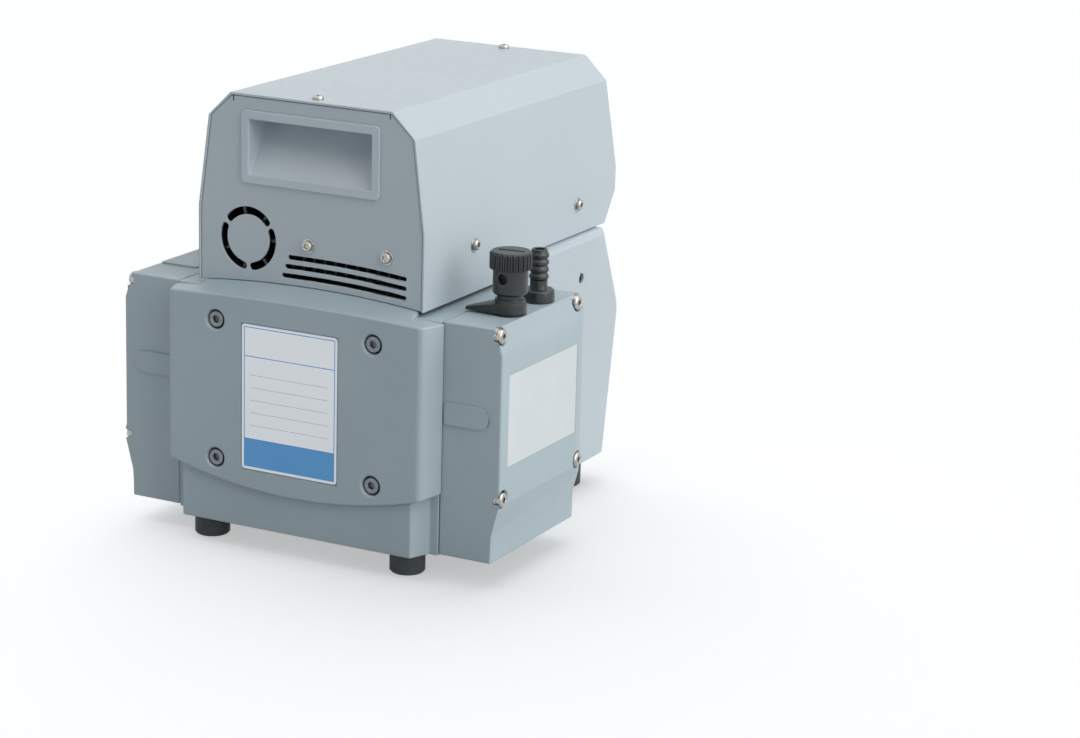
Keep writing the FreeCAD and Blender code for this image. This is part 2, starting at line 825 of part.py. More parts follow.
def crankcase_shell():
    """The open casting: walls, floor, roof, the bores of the heads and the rear bearing seat."""
    inside = "crankcase_half_width - crankcase_side_wall"
    shell = box(
        ("-crankcase_half_width", "crankcase_half_width"),
        (CASE_FRONT, CASE_REAR),
        ("foot_height", CASE_TOP),
    )
    cavity = box(
        (f"-({inside})", inside),
        (f"{CASE_FRONT} - {OVER}", f"{CASE_REAR} - crankcase_rear_wall"),
        ("foot_height + crankcase_floor", f"{CASE_TOP} - crankcase_roof"),
    )
    across = (f"-crankcase_half_width - {OVER}", f"crankcase_half_width + {OVER}")
    head_bore = bar_x(across, HEAD_MID, "crank_height", "side_bore_radius")
    through = (f"{CASE_REAR} - crankcase_rear_wall - {OVER}", f"{CASE_REAR} + {OVER}")
    return cut(shell, cavity, head_bore, bar_y("0", through, "crank_height", "bearing_radius"))


def skirt():
    """The hollow lower front of the casting, below the curved edge of the front cover."""
    front = "front_y + skirt_set_back"
    block = prism("XY", [
        ("-skirt_front_half", front),
        ("skirt_front_half", front),
        ("skirt_back_half", CASE_FRONT),
        ("-skirt_back_half", CASE_FRONT),
    ], ("foot_height", "cover_low_middle + cover_low_rise + cover_wall"))
    edge = bar_y(
        "0", (f"front_y - {OVER}", CASE_FRONT), f"cover_low_middle + {LOW_RADIUS}", f"{LOW_RADIUS} + seam"
    )
    hollow = box(
        ("-(skirt_front_half - skirt_wall)", "skirt_front_half - skirt_wall"),
        (f"{front} + skirt_wall", CASE_FRONT),
        (f"foot_height - {OVER}", "cover_low_middle - 2 * skirt_wall"),
    )
    return cut(block, edge, hollow)


def cover_posts():
    """Posts in the casting that the front cover is screwed to."""
    span = (CASE_FRONT, f"{CASE_FRONT} + cover_post_length")
    posts = []
    for way, z in COVER_SCREWS:
        middle = f"{way}cover_screw_x"
        width = (f"{middle} - cover_post_radius", f"{middle} + cover_post_radius")
        height = ("foot_height", z) if z == "cover_screw_low" else (z, CASE_TOP)
        posts += [box(width, span, height), bar_y(middle, span, z, "cover_post_radius")]
    return posts


def head_ears():
    """Round ears around the threads of the head screws, proud of the rear face."""
    ears = []
    for side in SIDES.values():
        span = ("crankcase_half_width - head_screw_grip", "crankcase_half_width")
        ears += [bar_x(span, y, z, "head_ear_radius", side) for y, z, seat in HEAD_SCREWS]
    return ears


def crankcase():
    """Die-cast crankcase with its skirt, posts and threaded holes."""
    casting = fuse(crankcase_shell(), skirt(), *cover_posts(), *head_ears())
    screw_end = "front_y + cover_recess_depth + cover_screw_length"
    holes = [
        bar_y(f"{way}cover_screw_x", (f"{CASE_FRONT} - {OVER}", screw_end), z, "cover_screw_radius")
        for way, z in COVER_SCREWS
    ]
    for side in SIDES.values():
        span = ("crankcase_half_width - head_bolt_grip", f"crankcase_half_width + {OVER}")
        holes += bolt_holes(span, "head_bolt_radius", side)
        span = ("crankcase_half_width - head_screw_grip - seam", f"crankcase_half_width + {OVER}")
        holes += [bar_x(span, y, z, "head_screw_radius", side) for y, z, seat in HEAD_SCREWS]
    across = (f"-crankcase_half_width - {OVER}", f"crankcase_half_width + {OVER}")
    holes.append(bar_x(across, TUBE_Y, "tube_z", "tube_radius + tube_clearance"))
    holes += [
        bar_z(f"{way}foot_x", y, (f"foot_height - {OVER}", "foot_height + stud_length"), "stud_radius")
        for way, y in FOOT_PLACES
    ]
    node("crankcase", cut(casting, *holes))


def cover_saddle():
    """The domed top of the front cover, which closes the arch of the hood's front plate."""
    start, end = "front_y + saddle_start", f"{PLATE_Y} + sheet"
    dome = turned("Y", [
        (start, "0"),
        (start, f"cover_top_middle - seam - {ARCH_CENTRE}"),
        (PLATE_Y, f"{ARCH_RADIUS} - saddle_gap"),
        (end, f"{ARCH_RADIUS} - saddle_gap"),
        (end, "0"),
    ], ("0", ARCH_CENTRE))
    low, half = "cover_top_middle - cover_wall", "hood_half_width - saddle_inset"
    room = prism("YZ", [
        (start, low),
        (CASE_FRONT, low),
        (CASE_FRONT, CASE_TOP),
        (end, CASE_TOP),
        (end, "arch_middle"),
        (start, "arch_middle"),
    ], (f"-({half})", half))
    return common(dome, room)


def front_cover():
    """Raised front casting with arched edges, screw recesses, nameplate pocket and bearing seat."""
    low, high = "cover_low_middle - cover_wall", "cover_top_middle + cover_wall"
    block = prism("XY", [
        ("-cover_front_half", "front_y"),
        ("cover_front_half", "front_y"),
        ("cover_back_half", CASE_FRONT),
        ("-cover_back_half", CASE_FRONT),
    ], (low, high))
    front = value("front_y")
    soften(
        block, lambda edge: runs_along(edge, "z") and edge.CenterOfMass.y < front + 0.1, "cover_edge_round",
    )
    deep = (f"front_y - {OVER}", f"{CASE_FRONT} + {OVER}")
    block = common(block, bar_y("0", deep, f"cover_top_middle - {TOP_RADIUS}", TOP_RADIUS))
    block = common(block, bar_y("0", deep, f"cover_low_middle + {LOW_RADIUS}", LOW_RADIUS))
    inside = "cover_front_half - cover_wall"
    hollow = box(
        (f"-({inside})", inside),
        ("front_y + cover_wall", f"{CASE_FRONT} + {OVER}"),
        (
            "cover_low_middle + cover_low_rise + cover_wall",
            "cover_top_middle - cover_top_drop - cover_wall",
        ),
    )
    seat_end = f"{FRONT_BEARING} + bearing_width"
    boss = bar_y(
        "0", ("front_y + cover_wall", seat_end), "crank_height", "bearing_radius + bearing_boss_wall",
    )
    posts = [
        bar_y(f"{way}cover_screw_x", ("front_y + cover_wall", CASE_FRONT), z, "cover_post_radius")
        for way, z in COVER_SCREWS
    ]
    casting = fuse(cut(block, hollow), cover_saddle(), boss, *posts)
    tools = [bar_y("0", (FRONT_BEARING, f"{seat_end} + {OVER}"), "crank_height", "bearing_radius")]
    for way, z in COVER_SCREWS:
        x = f"{way}cover_screw_x"
        recess = (f"front_y - {OVER}", "front_y + cover_recess_depth")
        tools.append(bar_y(x, recess, z, "cover_recess_radius"))
        tools.append(bar_y(x, deep, z, "cover_screw_radius + bolt_clearance"))
    half_width = "(nameplate_width / 2 + nameplate_clearance)"
    half_height = "(nameplate_height / 2 + nameplate_clearance)"
    tools.append(box(
        (f"nameplate_x - {half_width}", f"nameplate_x + {half_width}"),
        (f"front_y - {OVER}", "front_y + nameplate_pocket"),
        (f"nameplate_z - {half_height}", f"nameplate_z + {half_height}"),
    ))
    node("front_cover", cut(casting, *tools))


def cover_screws():
    """Four socket head screws in the recesses of the front cover."""
    seat = "front_y + cover_recess_depth"
    made = []
    for way, z in COVER_SCREWS:
        x = f"{way}cover_screw_x"
        top = f"{seat} - cover_screw_head_height"
        head = bar_y(x, (top, seat), z, "cover_screw_head_radius")
        shank = bar_y(x, (seat, f"{seat} + cover_screw_length"), z, "cover_screw_radius")
        socket = bar_y(x, (f"{top} - {OVER}", f"{top} + socket_depth"), z, "socket_radius")
        made.append(cut(fuse(head, shank), socket))
    node("cover_screws", group(*made))


def nameplate():
    """Thin plate with rounded corners in the pocket of the front cover."""
    half_width, half_height = "nameplate_width / 2", "nameplate_height / 2"
    floor = "front_y + nameplate_pocket"
    plate = prism("XZ", [
        (f"nameplate_x - {half_width}", f"nameplate_z - {half_height}"),
        (f"nameplate_x + {half_width}", f"nameplate_z - {half_height}"),
        (f"nameplate_x + {half_width}", f"nameplate_z + {half_height}"),
        (f"nameplate_x - {half_width}", f"nameplate_z + {half_height}"),
    ], (f"{floor} - nameplate_thickness", floor))
    node("nameplate", soften(plate, lambda edge: runs_along(edge, "y"), "nameplate_corner"))


def head_outline(wall, inner):
    """Section of a head cover on XZ, with a wall taken off."""
    return [
        (inner, f"head_bottom + {wall}"),
        (f"head_fold_half_width - {wall}", f"head_bottom + {wall}"),
        (f"head_fold_half_width - {wall}", "head_bottom + head_fold_low"),
        (f"head_half_width - {wall}", "head_bottom + head_fold_high"),
        (f"head_half_width - {wall}", f"{HEAD_TOP} - head_top_slope - {wall}"),
        (f"head_top_half_width - {wall}", f"{HEAD_TOP} - {wall}"),
        (inner, f"{HEAD_TOP} - {wall}"),
    ]


def head_cover(name, side):
    """Outer casting over one head, screwed on at its four corner lugs."""
    block = prism("XZ", mirrored(head_outline("0", HEAD_IN), side), (HEAD_FRONT, HEAD_REAR))
    wedge = prism("XY", mirrored([
        ("head_half_width", f"{HEAD_REAR} - head_rear_chamfer_depth"),
        (f"head_half_width + {OVER}", f"{HEAD_REAR} - head_rear_chamfer_depth"),
        (f"head_half_width + {OVER}", f"{HEAD_REAR} + {OVER}"),
        ("head_half_width - head_rear_chamfer_width", f"{HEAD_REAR} + {OVER}"),
    ], side), (f"head_bottom - {OVER}", f"{HEAD_TOP} + {OVER}"))
    block = cut(block, wedge)
    inside = prism("XZ", mirrored(head_outline("head_wall", f"{HEAD_IN} - {OVER}"), side), (
        f"{HEAD_FRONT} + head_wall", f"{HEAD_REAR} - head_wall",
    ))
    lugs = fuse(*[
        bar_x((f"{seat} - lug_depth", seat), y, z, "lug_radius", side) for y, z, seat in HEAD_SCREWS
    ])
    relief_low, relief_high = "relief_middle - relief_height / 2", "relief_middle + relief_height / 2"
    relief_span = (f"{HEAD_FRONT} - relief_proud", f"{HEAD_FRONT} + head_wall")
    relief_centre = "relief_end - relief_height / 2"
    parts = [
        cut(block, inside),
        common(lugs, block),
        box(("relief_start", relief_centre), relief_span, (relief_low, relief_high), side),
        bar_y(sided((relief_centre, "0"), side, "0")[0 if side > 0 else 1], relief_span,
              "relief_middle", "relief_height / 2"),
    ]
    port_span = (f"{HEAD_TOP} - head_wall - {OVER}", f"{HEAD_TOP} + pad_proud + {OVER}")
    way = "" if side > 0 else "-"
    tools = [bar_z(f"{way}nozzle_x", NOZZLE_Y, port_span, "nozzle_spigot_radius + bolt_clearance")]
    for y, z, seat in HEAD_SCREWS:
        span = (seat, f"head_half_width + {OVER}")
        tools.append(bar_x(span, y, z, "washer_radius + washer_clearance", side))
        hole = (f"{HEAD_IN} - {OVER}", f"{seat} + {OVER}")
        tools.append(bar_x(hole, y, z, "head_screw_radius + bolt_clearance", side))
    if side > 0:
        tools.append(bar_z("ballast_x", BALLAST_Y, port_span, "ballast_stem_radius + bolt_clearance"))
        tools.append(label_block("label_clearance", "label_pocket + seam"))
    else:
        parts.append(box(
            ("pad_middle - pad_half_width", "pad_middle + pad_half_width"),
            (f"{HEAD_FRONT} + pad_start", f"{HEAD_FRONT} + pad_start + pad_length"),
            (f"{HEAD_TOP} - head_wall", f"{HEAD_TOP} + pad_proud"),
            side,
        ))
    node(f"head_cover_{name}", cut(fuse(*parts), *tools))


def label_block(margin, thickness):
    """The space of the side label, from the floor of its pocket outwards."""
    floor = "head_half_width - label_pocket"
    front = f"{HEAD_FRONT} + label_front_inset"
    return box(
        (floor, f"{floor} + {thickness}"),
        (f"{front} - {margin}", f"{front} + label_length + {margin}"),
        (f"label_middle_z - label_height / 2 - {margin}", f"label_middle_z + label_height / 2 + {margin}"),
    )


def side_label():
    """Thin label in its pocket on the right head cover."""
    node("side_label", label_block("0", "label_thickness"))


def head_screws():
    """Long screws with two washers each at the corners of both head covers."""
    made = []
    for side in SIDES.values():
        for y, z, seat in HEAD_SCREWS:
            stack = f"{seat} + 2 * washer_thickness"
            top = f"{stack} + head_screw_head_height"
            head = bar_x((stack, top), y, z, "head_screw_head_radius", side)
            shank = bar_x(
                ("crankcase_half_width - head_screw_grip", stack), y, z, "head_screw_radius", side,
            )
            socket = bar_x(
                (f"{top} - socket_depth / 2", f"{top} + {OVER}"), y, z, "socket_radius / 1.5", side,
            )
            made.append(cut(fuse(head, shank), socket))
            for index in range(2):
                span = (f"{seat} + {index} * washer_thickness", f"{seat} + {index + 1} * washer_thickness")
                made.append(cut(
                    bar_x(span, y, z, "washer_radius", side),
                    bar_x(span, y, z, "head_screw_radius", side),
                ))
    node("head_screws", group(*made))


def diaphragm(name, side):
    """Moulded diaphragm, clamped at its rim and shown with the crank at its rest angle."""
    drawn_in = "0" if side > 0 else "2 * crank_throw"
    outline = [
        ("crankcase_half_width", "diaphragm_radius"),
        (DIAPHRAGM_OUT, "diaphragm_radius"),
        (DIAPHRAGM_OUT, "chamber_radius"),
        (f"{DIAPHRAGM_OUT} - {drawn_in}", "clamp_radius"),
        (f"{DIAPHRAGM_OUT} - {drawn_in}", "clamp_screw_radius"),
        (f"crankcase_half_width - {drawn_in}", "clamp_screw_radius"),
        (f"crankcase_half_width - {drawn_in}", "clamp_radius"),
        ("crankcase_half_width", "side_bore_radius"),
    ]
    body = turned("X", mirrored(outline, side), (HEAD_MID, "crank_height"))
    span = (f"crankcase_half_width - {OVER}", f"{DIAPHRAGM_OUT} + {OVER}")
    node(f"diaphragm_{name}", cut(body, *bolt_holes(span, "head_bolt_radius + bolt_clearance", side)))


def port(span, side, step, radius):
    """A cutter at the upper (1) or lower (-1) valve port of a head."""
    return bar_x(span, HEAD_MID, f"crank_height + {step} * port_offset", radius, side)


def head_lid(name, side):
    """Lid with the working chamber, its two ports and the seat of the inlet valve disc."""
    lid = bar_x((DIAPHRAGM_OUT, LID_OUT), HEAD_MID, "crank_height", "lid_radius", side)
    through = (f"{DIAPHRAGM_OUT} - {OVER}", f"{LID_OUT} + {OVER}")
    chamber = (f"{DIAPHRAGM_OUT} - {OVER}", f"{DIAPHRAGM_OUT} + chamber_depth")
    recess = (f"{LID_OUT} - valve_disc_thickness - valve_recess_clearance", f"{LID_OUT} + {OVER}")
    tools = bolt_holes(through, "head_bolt_radius + bolt_clearance", side)
    tools.append(bar_x(chamber, HEAD_MID, "crank_height", "chamber_radius", side))
    tools += [port(through, side, step, "port_radius") for step in (1, -1)]
    tools.append(port(recess, side, 1, "valve_disc_radius + valve_recess_clearance"))
    node(f"head_lid_{name}", cut(lid, *tools))


def valve_plate(name, side):
    """Flat plate between the lid and the manifold that the valve discs close against."""
    plate = bar_x((LID_OUT, PLATE_OUT), HEAD_MID, "crank_height", "lid_radius", side)
    through = (f"{LID_OUT} - {OVER}", f"{PLATE_OUT} + {OVER}")
    tools = bolt_holes(through, "head_bolt_radius + bolt_clearance", side)
    tools += [port(through, side, step, "port_radius") for step in (1, -1)]
    node(f"valve_plate_{name}", cut(plate, *tools))


def valve_discs():
    """Flexible valve discs, an inlet disc and an outlet disc in each head."""
    made = []
    for side in SIDES.values():
        made.append(port((f"{LID_OUT} - valve_disc_thickness", LID_OUT), side, 1, "valve_disc_radius"))
        made.append(port((PLATE_OUT, f"{PLATE_OUT} + valve_disc_thickness"), side, -1, "valve_disc_radius"))
    node("valve_discs", group(*made))


def manifold(name, side):
    """Outer block of one head with the ducts to its connections."""
    depth = (PLATE_OUT, MANIFOLD_OUT)
    top = f"{HEAD_TOP} - head_wall - seam"
    block = fuse(
        bar_x(depth, HEAD_MID, "crank_height", "lid_radius", side),
        box(
            depth, (f"{HEAD_MID} - column_front", f"{HEAD_MID} + column_rear"), ("crank_height", top), side,
        ),
        box(depth, (f"{TUBE_Y} - foot_column_half", f"{TUBE_Y} + foot_column_half"),
            ("tube_z - foot_column_low", "crank_height"), side),
    )
    through = (f"{PLATE_OUT} - {OVER}", f"{MANIFOLD_OUT} + {OVER}")
    inner = f"{PLATE_OUT} - {OVER}"
    upper = "crank_height + port_offset"
    way = "" if side > 0 else "-"
    lift = "0" if side > 0 else "pad_proud"
    spigot_end = f"{HEAD_TOP} + {lift} - nozzle_spigot"
    tools = bolt_holes(through, "head_bolt_radius + bolt_clearance", side)
    tools += [
        bar_x(
            (inner, f"{PLATE_OUT} + tube_insertion"), TUBE_Y, "tube_z", "tube_radius + tube_clearance",
            side,
        ),
        bar_x((inner, "nozzle_x"), HEAD_MID, upper, "nozzle_bore", side),
        bar_y(f"{way}nozzle_x", (HEAD_MID, NOZZLE_Y), upper, "nozzle_bore"),
        bar_z(f"{way}nozzle_x", NOZZLE_Y, (upper, f"{spigot_end} + {OVER}"), "nozzle_bore"),
        bar_z(f"{way}nozzle_x", NOZZLE_Y, (spigot_end, f"{top} + {OVER}"), "nozzle_spigot_radius"),
        port((inner, f"{PLATE_OUT} + valve_disc_thickness + valve_recess_clearance"), side, -1,
             "valve_disc_radius + valve_recess_clearance"),
    ]
    if side > 0:
        stem = (f"{HEAD_TOP} - ballast_spigot", f"{top} + {OVER}")
        tools.append(bar_z("ballast_x", BALLAST_Y, stem, "ballast_stem_radius"))
    node(f"manifold_{name}", cut(block, *tools))


def manifold_bolts():
    """Bolts that clamp manifold, valve plate, lid and diaphragm to the crankcase."""
    made = []
    for side in SIDES.values():
        for y, z in head_bolt_places():
            top = f"{MANIFOLD_OUT} + head_bolt_head_height"
            head = bar_x((MANIFOLD_OUT, top), y, z, "head_bolt_head_radius", side)
            shank = bar_x(
                ("crankcase_half_width - head_bolt_grip", MANIFOLD_OUT), y, z, "head_bolt_radius", side,
            )
            made.append(fuse(head, shank))
    node("manifold_bolts", group(*made))


def crossover_tube():
    """Tube through the crankcase that joins the two manifolds."""
    end = f"{PLATE_OUT} + tube_insertion"
    tube = bar_x((f"-({end})", end), TUBE_Y, "tube_z", "tube_radius")
    bore = bar_x((f"-({end}) - {OVER}", f"{end} + {OVER}"), TUBE_Y, "tube_z", "tube_radius - seam * 4")
    node("crossover_tube", cut(tube, bore))


def bearing(x, y, inner, outer, width):
    """A ball bearing about a line along Y, closed by a sunk shield on each face."""
    third = f"(({outer} - ({inner})) / 3)"
    return turned("Y", [
        (y, inner),
        (y, f"{inner} + {third}"),
        (f"{y} + bearing_groove", f"{inner} + {third}"),
        (f"{y} + bearing_groove", f"{outer} - {third}"),
        (y, f"{outer} - {third}"),
        (y, outer),
        (f"{y} + {width}", outer),
        (f"{y} + {width}", f"{outer} - {third}"),
        (f"{y} + {width} - bearing_groove", f"{outer} - {third}"),
        (f"{y} + {width} - bearing_groove", f"{inner} + {third}"),
        (f"{y} + {width}", f"{inner} + {third}"),
        (f"{y} + {width}", inner),
    ], (x, "crank_height"))


def shaft_bearings():
    """Three bearings of the crankshaft: front cover, crankcase wall and motor end shield."""
    starts = (FRONT_BEARING, f"{CASE_REAR} - bearing_width", f"{MOTOR_REAR} - end_shield_thickness")
    node("shaft_bearings", group(*[
        bearing("0", start, "(shaft_radius + bearing_fit)", "bearing_radius", "bearing_width")
        for start in starts
    ]))


def crankshaft():
    """Shaft with the eccentric that drives both connecting rods."""
    shaft = bar_y("0", (f"{FRONT_BEARING} + seam", SHAFT_END), "crank_height", "shaft_radius")
    half = "eccentric_length / 2"
    eccentric = bar_y("crank_throw", (f"{HEAD_MID} - {half}", f"{HEAD_MID} + {half}"), "crank_height",
                      "eccentric_radius")
    node("crankshaft", fuse(shaft, eccentric))


def counterweights():
    """Two half discs on the shaft, opposite to the eccentric."""
    inner = "(eccentric_length / 2 + weight_gap)"
    outer = f"({inner} + weight_thickness)"
    made = []
    for span in (
        (f"{HEAD_MID} - {outer}", f"{HEAD_MID} - {inner}"),
        (f"{HEAD_MID} + {inner}", f"{HEAD_MID} + {outer}"),
    ):
        half = box(
            ("-weight_radius", "0"), span, ("crank_height - weight_radius", "crank_height + weight_radius"),
        )
        disc = common(bar_y("0", span, "crank_height", "weight_radius"), half)
        hub = bar_y("0", span, "crank_height", "weight_hub_radius")
        made.append(cut(fuse(disc, hub), bar_y("0", span, "crank_height", "shaft_radius")))
    node("counterweights", group(*made))


def rod_middle(side):
    """Place on Y of one connecting rod's ring."""
    return f"({HEAD_MID} + ({side}) * rod_offset)"


DISC_IN = "(crankcase_half_width - crank_throw)"
SUPPORT_IN = f"({DISC_IN} - support_thickness)"
FLANGE_IN = f"({SUPPORT_IN} - flange_thickness)"
DISC_OUT = f"({DISC_IN} + diaphragm_thickness)"
CLAMP_OUT = f"({DISC_OUT} + clamp_thickness)"


def connecting_rod(name, side):
    """Rod from the eccentric to one diaphragm, with a cranked shank and a round foot."""
    middle = rod_middle(side)
    ring_span = (f"{middle} - rod_width / 2", f"{middle} + rod_width / 2")
    inner_edge = f"{HEAD_MID} - ({side}) * shank_overlap"
    shank_span = (inner_edge, ring_span[1]) if side > 0 else (ring_span[0], inner_edge)
    ring = bar_y("crank_throw", ring_span, "crank_height", "rod_ring_radius")
    shank_tall = ("crank_height - shank_half_height", "crank_height + shank_half_height")
    shank = box(("rod_bearing_radius", FLANGE_IN), shank_span, shank_tall, side, "crank_throw")
    flange = bar_x((FLANGE_IN, SUPPORT_IN), HEAD_MID, "crank_height", "flange_radius", side, "crank_throw")
    screw_span = (f"{CLAMP_OUT} - clamp_screw_length", f"{SUPPORT_IN} + {OVER}")
    screw_hole = bar_x(screw_span, HEAD_MID, "crank_height", "clamp_screw_radius", side, "crank_throw")
    bore = bar_y("crank_throw", ring_span, "crank_height", "rod_bearing_radius")
    node(f"rod_{name}", cut(fuse(ring, shank, flange), bore, screw_hole))


def rod_bearing(name, side):
    """Bearing between the eccentric and one rod."""
    start = f"{rod_middle(side)} - rod_width / 2"
    node(f"rod_bearing_{name}", bearing(
        "crank_throw", start, "(eccentric_radius + bearing_fit)", "rod_bearing_radius", "rod_width"
    ))


def clamp_discs(name, side):
    """Support disc behind one diaphragm, and the clamping disc with its screw in front of it."""
    support = bar_x((SUPPORT_IN, DISC_IN), HEAD_MID, "crank_height", "support_radius", side, "crank_throw")
    hole = bar_x((SUPPORT_IN, DISC_IN), HEAD_MID, "crank_height", "clamp_screw_radius", side, "crank_throw")
    clamp = bar_x((DISC_OUT, CLAMP_OUT), HEAD_MID, "crank_height", "clamp_radius", side, "crank_throw")
    screw = bar_x((f"{CLAMP_OUT} - clamp_screw_length", CLAMP_OUT), HEAD_MID, "crank_height",
                  "clamp_screw_radius", side, "crank_throw")
    node(f"clamp_discs_{name}", group(cut(support, hole), fuse(clamp, screw)))


def motor_housing():
    """Motor tube with its flange against the rear of the crankcase."""
    end = f"{MOTOR_REAR} - end_shield_thickness"
    tube = bar_y("0", (CASE_REAR, end), "crank_height", "motor_radius")
    inside = bar_y("0", (f"{CASE_REAR} + motor_flange_thickness", f"{end} + {OVER}"), "crank_height",
                   "motor_radius - motor_wall")
    bore = bar_y("0", (f"{CASE_REAR} - {OVER}", end), "crank_height", "motor_flange_bore")
    node("motor_housing", cut(tube, inside, bore))


def end_shield():
    """Rear end shield of the motor, with the seat of the rear bearing."""
    start = f"{MOTOR_REAR} - end_shield_thickness"
    disc = bar_y("0", (start, MOTOR_REAR), "crank_height", "motor_radius")
    seat = bar_y("0", (f"{start} - {OVER}", f"{start} + bearing_width"), "crank_height", "bearing_radius")
    hole = bar_y("0", (start, f"{MOTOR_REAR} + {OVER}"), "crank_height", "shaft_radius + bearing_groove")
    node("motor_end_shield", cut(disc, seat, hole))


def stator():
    """Laminated stator core with the winding heads at both ends."""
    start = f"({CASE_REAR} + stack_start)"
    end = f"({start} + stack_length)"
    core = bar_y("0", (start, end), "crank_height", "motor_radius - motor_wall")
    bore = bar_y("0", (f"{start} - {OVER}", f"{end} + {OVER}"), "crank_height", "rotor_radius + air_gap")
    node("stator_core", cut(core, bore))
    inner = "rotor_radius + air_gap + winding_inset"
    outer = "motor_radius - motor_wall - winding_inset"
    heads = []
    for low, high in ((f"{start} - winding_length", start), (end, f"{end} + winding_length")):
        ring = bar_y("0", (low, high), "crank_height", outer)
        heads.append(cut(ring, bar_y("0", (low, high), "crank_height", inner)))
    node("stator_windings", group(*heads))


def rotor():
    """Rotor core on the crankshaft."""
    start = f"({CASE_REAR} + stack_start)"
    span = (start, f"{start} + stack_length")
    core = bar_y("0", span, "crank_height", "rotor_radius")
    node("rotor", cut(core, bar_y("0", span, "crank_height", "shaft_radius")))


def wheel(hub, tip, length, count, thickness):
    """A hub with straight blades about its own Z axis, turned so that it runs along Y."""
    body = doc.addObject("PartDesign::Body", "Wheel")
    circle = new_sketch(body, "XY_Plane", ("0", "0", "0"))
    circle.addGeometry(Part.Circle(FreeCAD.Vector(), FreeCAD.Vector(0, 0, 1), value(hub)), False)
    circle.addConstraint(Sketcher.Constraint("Coincident", 0, 3, -1, 1))
    row = circle.addConstraint(Sketcher.Constraint("Radius", 0, value(hub)))
    bind(circle, {f"Constraints[{row}]": hub})
    core = body.newObject("PartDesign::Pad", "Hub")
    core.Profile = circle
    bind(core, {"Length": length})
    outline = new_sketch(body, "XY_Plane", ("0", "0", "0"))
    root = f"{hub} - {thickness}"
    draw_outline(outline, [
        (root, f"-{thickness} / 2"), (tip, f"-{thickness} / 2"), (tip, f"{thickness} / 2"), (
            root, f"{thickness} / 2",
        ),
    ])
    blade = body.newObject("PartDesign::Pad", "Blade")
    blade.Profile = outline
    bind(blade, {"Length": length})
    doc.recompute()
    ring = body.newObject("PartDesign::PolarPattern", "Blades")
    ring.Originals = [blade]
    ring.Axis = (outline, ["N_Axis"])
    ring.Angle = 360
    bind(ring, {"Occurrences": count})
    body.Tip = ring
    body.Placement = FreeCAD.Placement(FreeCAD.Vector(), FreeCAD.Rotation(FreeCAD.Vector(1, 0, 0), -90))
    doc.recompute()
    return body


def motor_fan():
    """Radial fan on the rear end of the shaft."""
    start = f"({MOTOR_REAR} + fan_gap)"
    body = wheel("fan_hub_radius", "fan_radius", "fan_length", "fan_blades", "fan_blade_thickness")
    place(body, "0", start, "crank_height")
    node("motor_fan", cut(body, bar_y("0", (start, SHAFT_END), "crank_height", "shaft_radius")))


def shroud_outline(wall, front, low):
    """Section of the motor shroud on YZ, with a wall taken off."""
    return [
        (front, low),
        (f"shroud_bottom_y - {wall}", low),
        (f"shroud_bulge_y - {wall}", "shroud_bulge_z"),
        (f"shroud_top_y - {wall}", f"shroud_top - {wall}"),
        (front, f"shroud_top - {wall}"),
    ]


def bulge_rounded(body, wall):
    """The shroud's section with its rear bulge rounded."""
    y, z = value(f"shroud_bulge_y - {wall}"), value("shroud_bulge_z")

    def at_bulge(edge):
        middle = edge.CenterOfMass
        return runs_along(edge, "x") and abs(middle.y - y) < 0.1 and abs(middle.z - z) < 0.1

    return soften(body, at_bulge, "shroud_bulge_round")


def motor_shroud():
    """Painted housing over the motor, with a bulged rear wall, its grille and a lock slot."""
    half = "shroud_half_width"
    shell = bulge_rounded(
        prism("YZ", shroud_outline("0", SHROUD_FRONT, SHROUD_LOW), (f"-{half}", half)), "0",
    )
    side, top, front = value(half), value("shroud_top"), value(SHROUD_FRONT)
    soften(shell, lambda edge: runs_along(edge, "y") and edge.CenterOfMass.z > top - 0.1,
           "shroud_top_chamfer", "Chamfer")

    def on_rear_profile(edge):
        middle = edge.CenterOfMass
        return abs(abs(middle.x) - side) < 0.1 and middle.y > front + 1 and not runs_along(edge, "y")

    soften(shell, on_rear_profile, "shroud_edge_round")
    inside = "(shroud_half_width - shroud_wall)"
    hollow = bulge_rounded(prism("YZ", shroud_outline(
        "shroud_wall", f"{SHROUD_FRONT} + shroud_wall", f"{SHROUD_LOW} - {OVER}",
    ), (f"-{inside}", inside)), "shroud_wall")
    front_span = (f"{SHROUD_FRONT} - {OVER}", f"{SHROUD_FRONT} + shroud_wall + {OVER}")
    tools = [hollow, bar_y("0", front_span, "crank_height", "motor_radius + shroud_wall")]
    count = round(value("grille_slots"))
    for index in range(count):
        middle = f"crank_height + ({index - (count - 1) / 2}) * grille_pitch"
        tools.append(box(
            ("-grille_half_width", "grille_half_width"),
            (f"{SHAFT_END} + fan_gap", f"shroud_bulge_y + {OVER}"),
            (f"{middle} - grille_slot / 2", f"{middle} + grille_slot / 2"),
        ))
    wall = (f"{inside} - {OVER}", f"shroud_half_width + {OVER}")
    tools.append(box(wall, ("keyhole_y - keyhole_width / 2", "keyhole_y + keyhole_width / 2"),
                     ("keyhole_z - keyhole_height / 2 + keyhole_radius", "keyhole_z + keyhole_height / 2")))
    keyhole_foot = "keyhole_z - keyhole_height / 2 + keyhole_radius"
    tools.append(bar_x(wall, "keyhole_y", keyhole_foot, "keyhole_radius"))
    node("motor_shroud", cut(shell, *tools))


def hood_outline(inset):
    """Section of the hood on XZ, open below, with an inset from the outer faces."""
    right = [
        (f"(hood_half_width - {inset})", "hood_low"),
        (f"(hood_half_width - {inset})", "hood_waist_z"),
        (f"(hood_shoulder_half - {inset})", "hood_shoulder_z"),
        (f"(hood_roof_half - {inset} / 2)", f"(hood_top - {inset})"),
    ]
    return right + [(f"-{x}", z) for x, z in reversed(right)]


